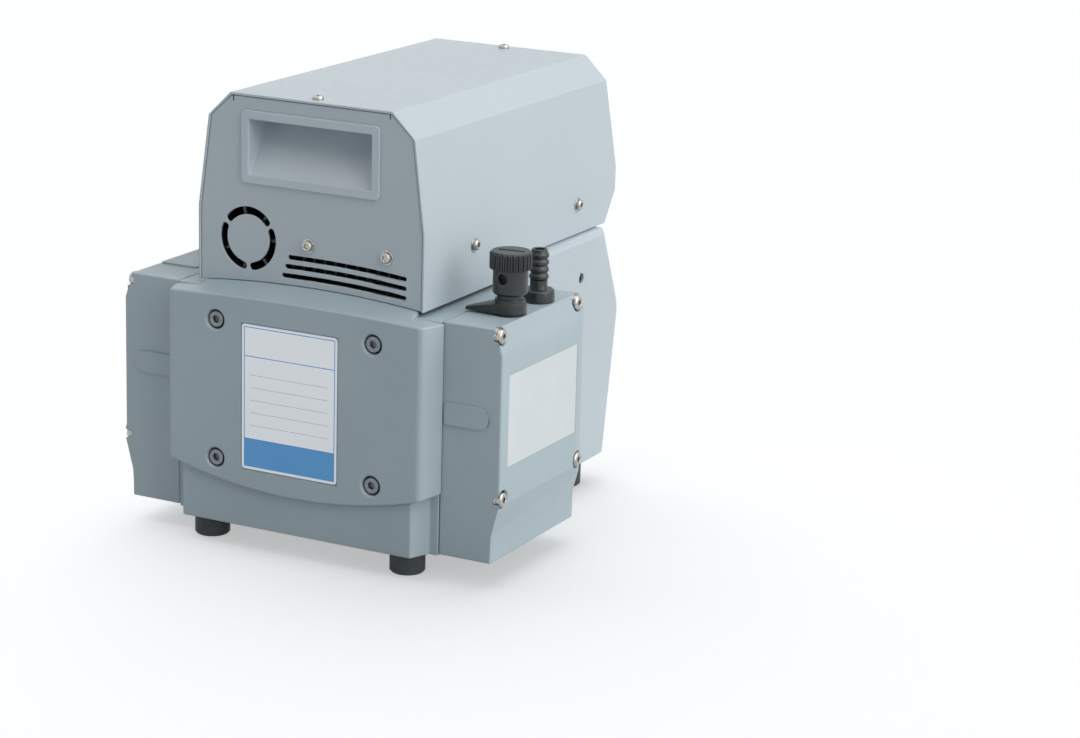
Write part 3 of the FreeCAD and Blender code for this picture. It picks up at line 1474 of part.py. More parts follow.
def hood_screw_places():
    """Screws of the hood: the axis that each runs along, its way out, and its place on the surface."""
    along = [f"{HOOD_FRONT} + side_screw_front + {index} * side_screw_pitch" for index in range(2)]
    sides = [("X", way, ("hood_half_width", y, "side_screw_z")) for way in (1, -1) for y in along]
    roof = [("Z", 1, ("0", y, "hood_top")) for y in (
        f"{HOOD_FRONT} + top_screw_inset", f"{HOOD_REAR} - hood_rear_lean - top_screw_inset",
    )]
    plate = [("Y", -1, (x, PLATE_Y, "plate_screw_z")) for x in ("plate_screw_left", "plate_screw_right")]
    return sides + roof + plate


def hood_bar(axis, way, spot, span, radius):
    """A round bar at a hood screw, over a span measured outwards from the surface."""
    x, y, z = spot
    if axis == "X":
        return bar_x((f"{x} + {span[0]}", f"{x} + {span[1]}"), y, z, radius, way)
    if axis == "Y":
        return bar_y(x, (f"{y} - ({span[1]})", f"{y} - ({span[0]})"), z, radius)
    return bar_z(x, y, (f"{z} + {span[0]}", f"{z} + {span[1]}"), radius)


def hood_holes(axis, depth, radius):
    """Cutters for the screws that pass through one face of the hood."""
    span = (f"-({depth}) - {OVER}", OVER)
    return [hood_bar(*screw, span, radius) for screw in hood_screw_places() if screw[0] == axis]


def hood_screws():
    """Pan head screws of the hood, with washers on its sides and front."""
    made = []
    for axis, way, spot in hood_screw_places():
        base = "0" if axis == "Z" else "hood_washer_thickness"
        top = f"({base} + hood_screw_head_height)"
        head = hood_bar(axis, way, spot, (base, top), "hood_screw_head_radius")
        shank = hood_bar(axis, way, spot, ("-hood_screw_length", base), "hood_screw_radius")
        socket = hood_bar(axis, way, spot, (f"{top} - hood_screw_head_height / 2", f"{top} + {OVER}"),
                          "hood_screw_radius / 1.5")
        made.append(cut(fuse(head, shank), socket))
        if axis != "Z":
            washer = hood_bar(axis, way, spot, ("0", base), "hood_washer_radius")
            made.append(cut(washer, hood_bar(axis, way, spot, ("0", base), "hood_screw_radius")))
    node("hood_screws", group(*made))


def hood_cover():
    """Folded sheet cover of the hood, stepped along its lower edge and cut back at its rear corners."""
    lean = f"{HOOD_REAR} - hood_rear_lean"
    outer = prism("XZ", hood_outline("0"), (HOOD_FRONT, HOOD_REAR))
    opened = [(x, f"hood_low - {OVER}") if z == "hood_low" else (x, z) for x, z in hood_outline("sheet")]
    inner = prism("XZ", opened, (f"{HOOD_FRONT} - {OVER}", f"{HOOD_REAR} + {OVER}"))
    side_view = prism("YZ", [
        (HOOD_FRONT, "hood_low"),
        (STEP_Y, "hood_low"),
        (STEP_Y, "hood_step_z"),
        (f"{HOOD_REAR} - hood_rear_cut_depth", "hood_step_z"),
        (f"{HOOD_REAR} - hood_rear_cut_depth", "hood_rear_cut_low"),
        (HOOD_REAR, "hood_rear_cut_top"),
        (HOOD_REAR, "hood_waist_z"),
        (lean, "hood_shoulder_z"),
        (lean, f"hood_top + {OVER}"),
        (HOOD_FRONT, f"hood_top + {OVER}"),
    ], (f"-hood_half_width - {OVER}", f"hood_half_width + {OVER}"))
    radius = "hood_screw_radius + hood_screw_clearance"
    holes = hood_holes("X", "sheet", radius) + hood_holes("Z", "sheet", radius)
    node("hood_cover", cut(common(cut(outer, inner), side_view), *holes))


def plate_roof_flange(span):
    """Flange that the roof screw of a hood plate enters."""
    half = "hood_roof_half - 2 * hood_clearance - 2 * sheet"
    return box((f"-({half})", half), span, (f"hood_top - {FITTED} - sheet", f"hood_top - {FITTED}"))


def spoke(x, z, angle, reach, half, span):
    """A flat bar along Y's normal plane, from a centre outwards at an angle in degrees."""
    cosine, sine = math.cos(math.radians(angle)), math.sin(math.radians(angle))
    points = []
    for along, across in ((0, -1), (1, -1), (1, 1), (0, 1)):
        points.append((
            f"{x} + {reach} * ({along * cosine:.6f}) - {half} * ({across * sine:.6f})",
            f"{z} + {reach} * ({along * sine:.6f}) + {half} * ({across * cosine:.6f})",
        ))
    return prism("XZ", points, span)


def curved_slot(index, centre, deep):
    """Cutters of one slot along the arch, with round ends. The lower slots start further left."""
    middle = f"(slot_first + {index} * slot_pitch - {centre})"
    left = f"(slot_left + slot_width / 2 - {2 - index} * slot_step)"
    right = "(slot_right - slot_width / 2)"
    ring = cut(bar_y("0", deep, centre, f"{middle} + slot_width / 2"),
               bar_y("0", deep, centre, f"{middle} - slot_width / 2"))
    window = box((left, right), deep, ("arch_middle", "slot_first + 3 * slot_pitch"))
    ends = [bar_y(x, deep, f"{centre} + sqrt({middle}^2 - {x}^2)", "slot_width / 2") for x in (left, right)]
    return [common(ring, window), *ends]


def vent_arcs(deep):
    """Cutters of the round vent: three arcs with round ends, apart by its bridges."""
    end, middle = "((vent_outer - vent_inner) / 2)", "((vent_outer + vent_inner) / 2)"
    aside = f"(vent_bridge / 2 + {end})"
    along = f"sqrt({middle}^2 - {aside}^2)"
    ring = cut(bar_y("vent_x", deep, "vent_z", "vent_outer"), bar_y("vent_x", deep, "vent_z", "vent_inner"))
    bridges, ends = [], []
    for angle in (30, 150, 270):
        bridges.append(spoke("vent_x", "vent_z", angle, f"(vent_outer + {OVER})", aside, deep))
        cosine, sine = math.cos(math.radians(angle)), math.sin(math.radians(angle))
        for way in (-1, 1):
            x = f"vent_x + {along} * ({cosine:.6f}) - {aside} * ({way * sine:.6f})"
            z = f"vent_z + {along} * ({sine:.6f}) + {aside} * ({way * cosine:.6f})"
            ends.append(bar_y(x, deep, z, end))
    return [cut(ring, *bridges), *ends]


def bend_notches(deep):
    """Short notches that free the roof flange of the front plate at the ends of its bend."""
    width = ("hood_roof_half - notch_inset - notch_width", "hood_roof_half - notch_inset")
    tall = (f"hood_top - {FITTED} - notch_height", f"hood_top + {OVER}")
    return [box(width, deep, tall, side) for side in SIDES.values()]


def hood_front_plate():
    """Front plate of the hood, with an arched lower edge, vents, grip opening and roof flange."""
    back = f"({PLATE_Y} + sheet)"
    deep = (f"{PLATE_Y} - {OVER}", f"{back} + {OVER}")
    plate = fuse(
        prism("XZ", hood_outline(FITTED), (PLATE_Y, back)),
        plate_roof_flange((PLATE_Y, f"{PLATE_Y} + plate_flange")),
    )
    tools = [bar_y("0", deep, ARCH_CENTRE, ARCH_RADIUS)]
    for index in range(3):
        tools += curved_slot(index, ARCH_CENTRE, deep)
    tools += vent_arcs(deep)
    tools += bend_notches(deep)
    tools.append(grip_opening(deep))
    tools += hood_holes("Y", "sheet", "hood_screw_radius + hood_screw_clearance")
    tools += hood_holes("Z", "sheet + plate_flange / 2", "hood_screw_radius")
    node("hood_front_plate", cut(plate, *tools))


def grip_opening(span):
    """The opening behind a grip insert's frame."""
    half = "grip_half_width - grip_border / 2 + seam"
    return box((f"-({half})", half), span,
               ("grip_low + grip_border / 2 - seam", "grip_high - grip_border / 2 + seam"))


def grip(name, surface, way):
    """Grip insert: a frame on the plate and a pocket for the fingers that deepens upwards."""
    def out(distance):
        return f"({surface} + ({way}) * ({distance}))"

    def between(first, second):
        return (out(first), out(second)) if way > 0 else (out(second), out(first))

    frame = prism("XZ", [
        ("-grip_half_width", "grip_low"),
        ("grip_half_width", "grip_low"),
        ("grip_half_width", "grip_high"),
        ("-grip_half_width", "grip_high"),
    ], between("0", "grip_proud"))
    soften(frame, lambda edge: runs_along(edge, "y"), "grip_corner")
    half = "grip_half_width - grip_border / 2"
    low, high = "grip_low + grip_border / 2", "grip_high - grip_border / 2"
    deep = "(grip_depth + grip_wall)"
    bowl = prism("YZ", [
        (out("0"), low),
        (out("0"), high),
        (out(f"-{deep}"), high),
        (out(f"-{deep}"), "grip_high - grip_border - 2 * grip_wall"),
        (out("-2 * grip_wall"), low),
    ], (f"-({half})", half))
    recess = prism("YZ", [
        (out(f"grip_proud + {OVER}"), "grip_low + grip_border"),
        (out(f"grip_proud + {OVER}"), "grip_high - grip_border"),
        (out("-grip_depth"), "grip_high - grip_border"),
        (out("0"), "grip_low + grip_border"),
    ], ("-(grip_half_width - grip_border)", "grip_half_width - grip_border"))
    node(f"{name}_grip", cut(fuse(frame, bowl), recess))


def hood_rear_plate():
    """Rear plate of the hood, bent in below, with openings for the grip and the sockets."""
    inside = f"({REAR_PLATE_Y} - sheet)"
    toe_y = f"({REAR_PLATE_Y} - hood_rear_cut_depth * 0.7)"
    bend = "(hood_rear_cut_top - 2 * sheet)"
    toe_z = f"({bend} - (hood_rear_cut_top - hood_rear_cut_low) * 0.7)"
    profile = prism("YZ", [
        (REAR_PLATE_Y, "hood_top"),
        (REAR_PLATE_Y, bend),
        (toe_y, toe_z),
        (f"{toe_y} - sheet", f"{toe_z} + sheet / 2"),
        (inside, f"{bend} + sheet / 2"),
        (inside, "hood_top"),
    ], ("-hood_half_width", "hood_half_width"))
    section = prism("XZ", hood_outline(FITTED), (toe_y + " - sheet * 2", f"{REAR_PLATE_Y} + {OVER}"))
    plate = fuse(common(profile, section), plate_roof_flange((f"{REAR_PLATE_Y} - plate_flange", inside)))
    deep = (f"{inside} - {OVER}", f"{REAR_PLATE_Y} + {OVER}")
    tools = [
        grip_opening(deep),
        box(("inlet_x - inlet_half_width", "inlet_x + inlet_half_width"), deep,
            ("socket_z - inlet_half_height", "socket_z + inlet_half_height")),
        box(("switch_x - switch_half_width", "switch_x + switch_half_width"), deep,
            ("socket_z - switch_half_height", "socket_z + switch_half_height")),
        bar_y("bus_x", deep, "socket_z", "bus_radius"),
    ]
    tools += hood_holes("Z", "sheet + plate_flange / 2", "hood_screw_radius")
    node("hood_rear_plate", cut(plate, *tools))


def board_places():
    """Places of the board's standoffs on X and Y, and the tray level that each stands on."""
    front = f"({HOOD_FRONT} + board_front_inset)"
    return [
        (f"{way}(board_half_width - 2 * standoff_radius)", y, level)
        for way in ("", "-")
        for y, level in (
            (f"{front} + 2 * standoff_radius", "tray_low"),
            (f"{front} + board_length - 2 * standoff_radius", TRAY_HIGH),
        )
    ]


def hood_tray():
    """Stepped sheet tray on the crankcase and the shroud, with side flanges and board standoffs."""
    front, half = f"({HOOD_FRONT} + tray_set_back)", f"(hood_half_width - {FITTED})"
    deck = prism("YZ", [
        (front, "tray_low"),
        (STEP_Y, "tray_low"),
        (STEP_Y, TRAY_HIGH),
        (TRAY_REAR, TRAY_HIGH),
        (TRAY_REAR, f"{TRAY_HIGH} + sheet"),
        (f"{STEP_Y} - sheet", f"{TRAY_HIGH} + sheet"),
        (f"{STEP_Y} - sheet", "tray_low + sheet"),
        (front, "tray_low + sheet"),
    ], (f"-{half}", half))
    parts = [deck]
    for side in SIDES.values():
        flange = (f"{half} - sheet", half)
        parts.append(box(flange, (front, STEP_Y), ("tray_low", "tray_flange_top"), side))
        parts.append(box(flange, (f"{STEP_Y} - sheet", TRAY_REAR), (TRAY_HIGH, "tray_flange_top"), side))
    for x, y, level in board_places():
        parts.append(bar_z(x, y, (level, "board_z"), "standoff_radius"))
        if level == "tray_low":
            parts.append(bar_z(x, y, (CASE_TOP, level), "2 * standoff_radius"))
    node("hood_tray", cut(fuse(*parts), *hood_holes("X", f"{FITTED} + sheet", "hood_screw_radius")))


def electronics():
    """Inverter board on the tray's standoffs, with its capacitors."""
    front = f"({HOOD_FRONT} + board_front_inset)"
    top = "(board_z + board_thickness)"
    node("inverter_board", box(
        ("-board_half_width", "board_half_width"), (front, f"{front} + board_length"), ("board_z", top)
    ))
    tall = (top, f"{top} + capacitor_height")
    node("capacitors", group(*[
        bar_z("0", f"{front} + board_length / 2 + {step} * capacitor_pitch", tall, "capacitor_radius")
        for step in (-1, 0, 1)
    ]))


def heat_sink():
    """Finned heat sink held on the front plate by its two bosses."""
    start = f"({PLATE_Y} + sheet)"
    base = f"({start} + 2 * sheet + fin_length)"
    depth = (base, f"{base} + heat_sink_base")
    height = ("heat_sink_low", "heat_sink_high")
    parts = [box(("heat_sink_left", "heat_sink_right"), depth, height)]
    count = round(value("fin_count"))
    step = f"((heat_sink_right - heat_sink_left - fin_thickness) / {count - 1})"
    for index in range(count):
        low = f"heat_sink_left + {index} * {step}"
        parts.append(box((low, f"{low} + fin_thickness"), (f"{base} - fin_length", base), height))
    for x in ("plate_screw_left", "plate_screw_right"):
        parts.append(bar_y(x, (start, base), "plate_screw_z", "plate_spacer_radius"))
    depth_of_screw = "sheet + hood_screw_length"
    node("heat_sink", cut(fuse(*parts), *hood_holes("Y", depth_of_screw, "hood_screw_radius")))


def cooler():
    """Small fan behind the round vent: square frame with hub and axle, and its rotor."""
    front = f"({PLATE_Y} + sheet + seam)"
    back = f"({front} + cooler_depth)"
    motor_front = f"({back} - 2 * cooler_strut)"
    frame = box(("vent_x - cooler_half", "vent_x + cooler_half"), (front, back),
                ("vent_z - cooler_half", "vent_z + cooler_half"))
    bore = bar_y("vent_x", (f"{front} - {OVER}", f"{back} + {OVER}"), "vent_z", "cooler_bore")
    struts = [
        spoke("vent_x", "vent_z", angle, "(cooler_bore + cooler_axle)", "cooler_strut / 2",
              (f"{back} - cooler_strut", back))
        for angle in (45, 135, 225, 315)
    ]
    hub = bar_y("vent_x", (motor_front, back), "vent_z", "cooler_hub")
    axle_front = f"({front} + cooler_strut)"
    axle = bar_y("vent_x", (axle_front, motor_front), "vent_z", "cooler_axle")
    node("cooler_frame", fuse(cut(frame, bore), hub, axle, *struts))
    rotor_front = f"({front} + cooler_gap)"
    length = f"({motor_front} - cooler_gap - {rotor_front})"
    body = wheel("cooler_hub", "cooler_rotor", length, "cooler_blades", "cooler_blade_thickness")
    place(body, "vent_x", rotor_front, "vent_z")
    hole = bar_y(
        "vent_x", (f"{axle_front} - cooler_gap", f"{motor_front}"), "vent_z", "cooler_axle + stem_fit",
    )
    node("cooler_rotor", cut(body, hole))


def mains_inlet():
    """Appliance inlet with its cavity and three contact blades."""
    flange_face = f"({REAR_PLATE_Y} + inlet_flange)"
    floor = f"({flange_face} - inlet_cavity_depth)"
    blades = []
    for step, drop in ((-1, "blade_drop / 2"), (0, "-blade_drop / 2"), (1, "blade_drop / 2")):
        x, z = f"(inlet_x + {step} * blade_pitch)", f"(socket_z - {drop})"
        blades.append(box(
            (f"{x} - blade_width / 2", f"{x} + blade_width / 2"),
            (f"{REAR_PLATE_Y} - inlet_depth - blade_base", f"{floor} + blade_length - blade_base"),
            (f"{z} - blade_height / 2", f"{z} + blade_height / 2"),
        ))
    outer = box(("inlet_x - inlet_half_width", "inlet_x + inlet_half_width"),
                (f"{REAR_PLATE_Y} - inlet_depth", REAR_PLATE_Y),
                ("socket_z - inlet_half_height", "socket_z + inlet_half_height"))
    rim_x, rim_z = "(inlet_half_width + inlet_flange_rim)", "(inlet_half_height + inlet_flange_rim)"
    flange = box((f"inlet_x - {rim_x}", f"inlet_x + {rim_x}"), (REAR_PLATE_Y, flange_face),
                 (f"socket_z - {rim_z}", f"socket_z + {rim_z}"))
    cavity_x, cavity_z = "(inlet_half_width - inlet_wall)", "(inlet_half_height - inlet_wall)"
    cavity = box((f"inlet_x - {cavity_x}", f"inlet_x + {cavity_x}"), (floor, f"{flange_face} + {OVER}"),
                 (f"socket_z - {cavity_z}", f"socket_z + {cavity_z}"))
    pins = group(*blades)
    node("mains_inlet", cut(cut(fuse(outer, flange), cavity), pins))
    node("inlet_blades", pins)


PIVOT_Y = f"({REAR_PLATE_Y} - switch_flange_rim - bus_flange)"


def mains_switch():
    """Frame of the mains switch, with the holes of the rocker's pin."""
    flange_face = f"({REAR_PLATE_Y} + inlet_flange)"
    outer = box(("switch_x - switch_half_width", "switch_x + switch_half_width"),
                (f"{REAR_PLATE_Y} - switch_depth", REAR_PLATE_Y),
                ("socket_z - switch_half_height", "socket_z + switch_half_height"))
    rim_x, rim_z = "(switch_half_width + switch_flange_rim)", "(switch_half_height + switch_flange_rim)"
    flange = box((f"switch_x - {rim_x}", f"switch_x + {rim_x}"), (REAR_PLATE_Y, flange_face),
                 (f"socket_z - {rim_z}", f"socket_z + {rim_z}"))
    half_x, half_z = "(rocker_half_width + rocker_clearance)", "(switch_half_height - switch_flange_rim)"
    cavity = box((f"switch_x - {half_x}", f"switch_x + {half_x}"),
                 (f"{REAR_PLATE_Y} - switch_depth + switch_flange_rim", f"{flange_face} + {OVER}"),
                 (f"socket_z - {half_z}", f"socket_z + {half_z}"))
    pin = bar_x((f"switch_x - {half_x} - rocker_clearance", f"switch_x + {half_x} + rocker_clearance"),
                PIVOT_Y, "socket_z", "rocker_pin_radius + stem_fit")
    node("mains_switch", cut(fuse(outer, flange), cavity, pin))


def mains_rocker():
    """Rocker of the mains switch on its pin, shown pressed at its upper end."""
    tilt = math.radians(value("rocker_tilt"))
    points = []
    for out, up in (
        ("rocker_reach", "-rocker_half_height"),
        ("rocker_reach - rocker_pin_radius", "0"),
        ("rocker_reach", "rocker_half_height"),
        ("0", "rocker_half_height - rocker_pin_radius"),
        ("-2 * rocker_pin_radius", "rocker_half_height / 3"),
        ("-2 * rocker_pin_radius", "-rocker_half_height / 3"),
        ("0", "-rocker_half_height + rocker_pin_radius"),
    ):
        cosine, sine = f"{math.cos(tilt):.6f}", f"{math.sin(tilt):.6f}"
        points.append((
            f"{PIVOT_Y} + ({out}) * {cosine} - ({up}) * {sine}",
            f"socket_z + ({out}) * {sine} + ({up}) * {cosine}",
        ))
    button = prism("YZ", points, ("switch_x - rocker_half_width", "switch_x + rocker_half_width"))
    reach = "rocker_half_width + rocker_clearance"
    pin = bar_x((f"switch_x - ({reach})", f"switch_x + {reach}"), PIVOT_Y, "socket_z", "rocker_pin_radius")
    node("mains_rocker", fuse(button, pin))


def bus_socket():
    """Round bus socket with its contact pins."""
    face = f"({REAR_PLATE_Y} + bus_flange)"
    floor = f"({face} - bus_cavity)"
    shell = turned("Y", [
        (f"{REAR_PLATE_Y} - bus_depth", "0"),
        (f"{REAR_PLATE_Y} - bus_depth", "bus_radius"),
        (REAR_PLATE_Y, "bus_radius"),
        (REAR_PLATE_Y, "bus_radius + bus_flange_rim"),
        (face, "bus_radius + bus_flange_rim"),
        (face, "bus_radius - bus_wall"),
        (floor, "bus_radius - bus_wall"),
        (floor, "0"),
    ], ("bus_x", "socket_z"))
    pins = []
    for index in range(4):
        angle = math.radians(45 + 90 * index)
        x = f"bus_x + bus_pin_circle * ({math.cos(angle):.6f})"
        z = f"socket_z + bus_pin_circle * ({math.sin(angle):.6f})"
        pins.append(bar_y(x, (f"{floor} - {OVER}", f"{floor} + bus_pin_length"), z, "bus_pin_radius"))
    node("bus_socket", fuse(shell, *pins))


LEVER_LOW = f"({HEAD_TOP} + ballast_flange + ballast_gap)"
RING_TOP = f"({LEVER_LOW} + lever_ring_height)"
BODY_LOW = f"({RING_TOP} + neck_collar_height + neck_height)"
CAP_LOW = f"({BODY_LOW} + knob_body_height)"
STEM_TOP = f"({HEAD_TOP} + ballast_stem_reach)"


def ballast_seat():
    """Fixed stem of the gas ballast valve, screwed into the right manifold."""
    flange = bar_z(
        "ballast_x", BALLAST_Y, (HEAD_TOP, f"{HEAD_TOP} + ballast_flange"), "ballast_flange_radius",
    )
    stem = bar_z("ballast_x", BALLAST_Y, (f"{HEAD_TOP} - ballast_spigot", STEM_TOP), "ballast_stem_radius")
    node("ballast_seat", fuse(flange, stem))


def ballast_lever():
    """Turning part of the valve: ring with its pointer, neck, and body with the air hole."""
    centre = ("ballast_x", BALLAST_Y)
    column = turned("Z", [
        (LEVER_LOW, "0"),
        (LEVER_LOW, "lever_ring_radius"),
        (RING_TOP, "lever_ring_radius"),
        (RING_TOP, "neck_collar_radius"),
        (f"{RING_TOP} + neck_collar_height", "neck_collar_radius"),
        (f"{RING_TOP} + neck_collar_height", "neck_radius"),
        (BODY_LOW, "neck_radius"),
        (BODY_LOW, "knob_body_radius - knob_body_chamfer"),
        (f"{BODY_LOW} + knob_body_chamfer", "knob_body_radius"),
        (CAP_LOW, "knob_body_radius"),
        (CAP_LOW, "0"),
    ], centre)
    heading = math.radians(value("lever_heading"))
    cosine, sine = math.cos(heading), math.sin(heading)
    points = []
    corners = [
        ("0", "-lever_ring_radius"),
        ("lever_reach", "-lever_tip"),
        ("lever_reach", "lever_tip"),
        ("0", "lever_ring_radius"),
    ]
    for along, across in corners:
        points.append((
            f"{centre[0]} + {along} * ({cosine:.6f}) - ({across}) * ({sine:.6f})",
            f"{centre[1]} + {along} * ({sine:.6f}) + ({across}) * ({cosine:.6f})",
        ))
    falling_top = turned("Z", [
        (LEVER_LOW, "0"),
        (LEVER_LOW, f"lever_reach + {OVER}"),
        (f"{LEVER_LOW} + lever_tip_height", f"lever_reach + {OVER}"),
        (f"{LEVER_LOW} + lever_height", "lever_ring_radius"),
        (f"{LEVER_LOW} + lever_height", "0"),
    ], centre)
    pointer = common(prism("XY", points, (LEVER_LOW, f"{LEVER_LOW} + lever_height")), falling_top)
    stem = bar_z(
        *centre, (f"{LEVER_LOW} - {OVER}", f"{CAP_LOW} + {OVER}"), "ballast_stem_radius + stem_fit",
    )
    depth = "(ballast_stem_radius + knob_body_chamfer)"
    hole = bar_y("ballast_x", (f"{BALLAST_Y} - knob_body_radius - {OVER}", f"{BALLAST_Y} - {depth}"),
                 f"{HEAD_TOP} + air_hole_height", "air_hole_radius")
    node("ballast_lever", cut(fuse(column, pointer), stem, hole))


def ballast_cap():
    """Knurled cap of the valve with a straight slot."""
    top = f"({CAP_LOW} + cap_height)"
    cap = turned("Z", [
        (CAP_LOW, "0"),
        (CAP_LOW, "cap_radius"),
        (f"{top} - cap_crown", "cap_radius"),
        (top, "cap_radius - cap_crown"),
        (top, "0"),
    ], ("ballast_x", BALLAST_Y))
    stem_span = (f"{CAP_LOW} - {OVER}", f"{STEM_TOP} + seam")
    tools = [bar_z("ballast_x", BALLAST_Y, stem_span, "ballast_stem_radius + stem_fit")]
    count = round(value("knurl_count"))
    for index in range(count):
        angle = 2 * math.pi * index / count
        x = f"ballast_x + cap_radius * ({math.cos(angle):.6f})"
        y = f"{BALLAST_Y} + cap_radius * ({math.sin(angle):.6f})"
        tools.append(bar_z(x, y, (f"{CAP_LOW} - {OVER}", f"{top} + {OVER}"), "knurl_radius"))
    heading = math.radians(value("cap_slot_heading"))
    cosine, sine = math.cos(heading), math.sin(heading)
    points = []
    for along, across in ((-0.5, -0.5), (0.5, -0.5), (0.5, 0.5), (-0.5, 0.5)):
        x_length, x_width = along * cosine, -across * sine
        y_length, y_width = along * sine, across * cosine
        points.append((
            f"ballast_x + cap_slot_length * ({x_length:.6f}) + cap_slot_width * ({x_width:.6f})",
            f"{BALLAST_Y} + cap_slot_length * ({y_length:.6f}) + cap_slot_width * ({y_width:.6f})",
        ))
    tools.append(prism("XY", points, (f"{top} - cap_slot_depth", f"{top} + {OVER}")))
    node("ballast_cap", cut(cap, *tools))


def nozzle(name, side):
    """Barbed hose nozzle with a plain collar, screwed into one manifold."""
    base = f"({HEAD_TOP} + {'0' if side > 0 else 'pad_proud'})"
    collar = f"({base} + nozzle_flange_height)"
    outline = [
        (f"{base} - nozzle_spigot", "nozzle_bore"),
        (f"{base} - nozzle_spigot", "nozzle_spigot_radius"),
        (base, "nozzle_spigot_radius"),
        (base, "nozzle_flange_radius"),
        (f"{collar} - nozzle_flange_chamfer", "nozzle_flange_radius"),
        (collar, "nozzle_flange_radius - nozzle_flange_chamfer"),
        (collar, "nozzle_neck_radius"),
        (f"{collar} + nozzle_neck", "nozzle_neck_radius"),
    ]
    for index in range(round(value("barb_count"))):
        start = f"{collar} + nozzle_neck + {index} * barb_pitch"
        outline += [
            (start, "barb_root"),
            (f"{start} + barb_rise", "barb_radius"),
            (f"{start} + barb_rise + barb_land", "barb_radius"),
        ]
    top = f"{collar} + nozzle_neck + barb_count * barb_pitch"
    end = f"{top} + nozzle_tip"
    outline += [(top, "barb_root"), (end, "barb_root"), (end, "nozzle_bore")]
    x = "nozzle_x" if side > 0 else "-nozzle_x"
    node(f"{name}_nozzle", turned("Z", outline, (x, NOZZLE_Y)))


feet()
base_plate()
crankcase()
front_cover()
cover_screws()
nameplate()
for side_name, side_sign in SIDES.items():
    head_cover(side_name, side_sign)
    diaphragm(side_name, side_sign)
    head_lid(side_name, side_sign)
    valve_plate(side_name, side_sign)
    manifold(side_name, side_sign)
    connecting_rod(side_name, side_sign)
    rod_bearing(side_name, side_sign)
    clamp_discs(side_name, side_sign)
side_label()
head_screws()
valve_discs()
manifold_bolts()
crossover_tube()
shaft_bearings()
crankshaft()
counterweights()
motor_housing()
end_shield()
stator()
rotor()
motor_fan()
motor_shroud()
hood_cover()
hood_front_plate()
hood_rear_plate()
grip("front", PLATE_Y, -1)
grip("rear", REAR_PLATE_Y, 1)
hood_tray()
hood_screws()
electronics()
heat_sink()
cooler()
mains_inlet()
mains_switch()
mains_rocker()
bus_socket()
ballast_seat()
ballast_lever()
ballast_cap()
nozzle("inlet", 1)
nozzle("outlet", -1)

doc.recompute()
for item in doc.Objects:
    if "Invalid" in item.State or "Error" in item.State:
        raise RuntimeError(f"{item.Label} ({item.TypeId}) failed: {item.State}")
for part in NODES:
    if part.Shape.isNull() or not part.Shape.isValid() or not part.Shape.Solids:
        raise RuntimeError(f"{part.Label} has no valid solid")
os.makedirs("parts", exist_ok=True)
for part in NODES:
    part.Shape.exportStep(f"parts/{part.Label}.step")
print(f"{len(NODES)} sub-parts written")
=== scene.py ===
import math
import bmesh
import bpy
from mathutils import Matrix, Vector


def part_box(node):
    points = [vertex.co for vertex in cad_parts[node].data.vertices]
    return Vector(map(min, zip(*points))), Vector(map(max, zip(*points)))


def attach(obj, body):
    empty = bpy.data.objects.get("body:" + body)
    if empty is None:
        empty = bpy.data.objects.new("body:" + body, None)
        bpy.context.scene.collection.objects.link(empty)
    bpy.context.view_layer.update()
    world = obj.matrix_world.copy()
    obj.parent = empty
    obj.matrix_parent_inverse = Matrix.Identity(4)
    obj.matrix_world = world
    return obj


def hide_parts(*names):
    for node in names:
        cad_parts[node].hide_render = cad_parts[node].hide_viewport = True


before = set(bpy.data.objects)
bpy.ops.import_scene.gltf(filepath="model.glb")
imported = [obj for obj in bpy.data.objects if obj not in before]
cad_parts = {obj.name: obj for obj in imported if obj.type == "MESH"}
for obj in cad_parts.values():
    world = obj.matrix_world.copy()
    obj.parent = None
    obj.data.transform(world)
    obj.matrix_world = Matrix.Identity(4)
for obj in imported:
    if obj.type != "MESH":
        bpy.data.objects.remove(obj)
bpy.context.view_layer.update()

# Four moulded rubber feet with studs in the casting and the base plate. The rubber is almost black,
# with a greenish cast and the dull skin that it keeps from the mould. The base plate is galvanised
# sheet steel, which closes the bottom of the motor's shroud.


def surface(name, colour, roughness, metallic=0.0):
    """A material with plain values on its shader, ready for its grain."""
    material = bpy.data.materials.new(name)
    material.use_nodes = True
    shader = material.node_tree.nodes["Principled BSDF"]
    shader.inputs["Base Color"].default_value = (*colour, 1)
    shader.inputs["Roughness"].default_value = roughness
    shader.inputs["Metallic"].default_value = metallic
    return material


def shader_of(material):
    return material.node_tree.nodes["Principled BSDF"]


def grain(material, scale, detail=3.0, stretch=(1, 1, 1)):
    """Noise on the piece's own coordinates, in cells per metre."""
    tree = material.node_tree
    where = tree.nodes.new("ShaderNodeTexCoord")
    shape = tree.nodes.new("ShaderNodeMapping")
    noise = tree.nodes.new("ShaderNodeTexNoise")
    shape.inputs["Scale"].default_value = stretch
    noise.inputs["Scale"].default_value = scale
    noise.inputs["Detail"].default_value = detail
    tree.links.new(where.outputs["Object"], shape.inputs["Vector"])
    tree.links.new(shape.outputs["Vector"], noise.inputs["Vector"])
    return noise.outputs["Fac"]


def spread(material, pattern, low, high, socket, start=0.3, end=0.7):
    """Drives a shader value between two limits by a pattern."""
    tree = material.node_tree
    spreader = tree.nodes.new("ShaderNodeMapRange")
    spreader.inputs["From Min"].default_value = start
    spreader.inputs["From Max"].default_value = end
    spreader.inputs["To Min"].default_value = low
    spreader.inputs["To Max"].default_value = high
    tree.links.new(pattern, spreader.inputs["Value"])
    tree.links.new(spreader.outputs["Result"], shader_of(material).inputs[socket])


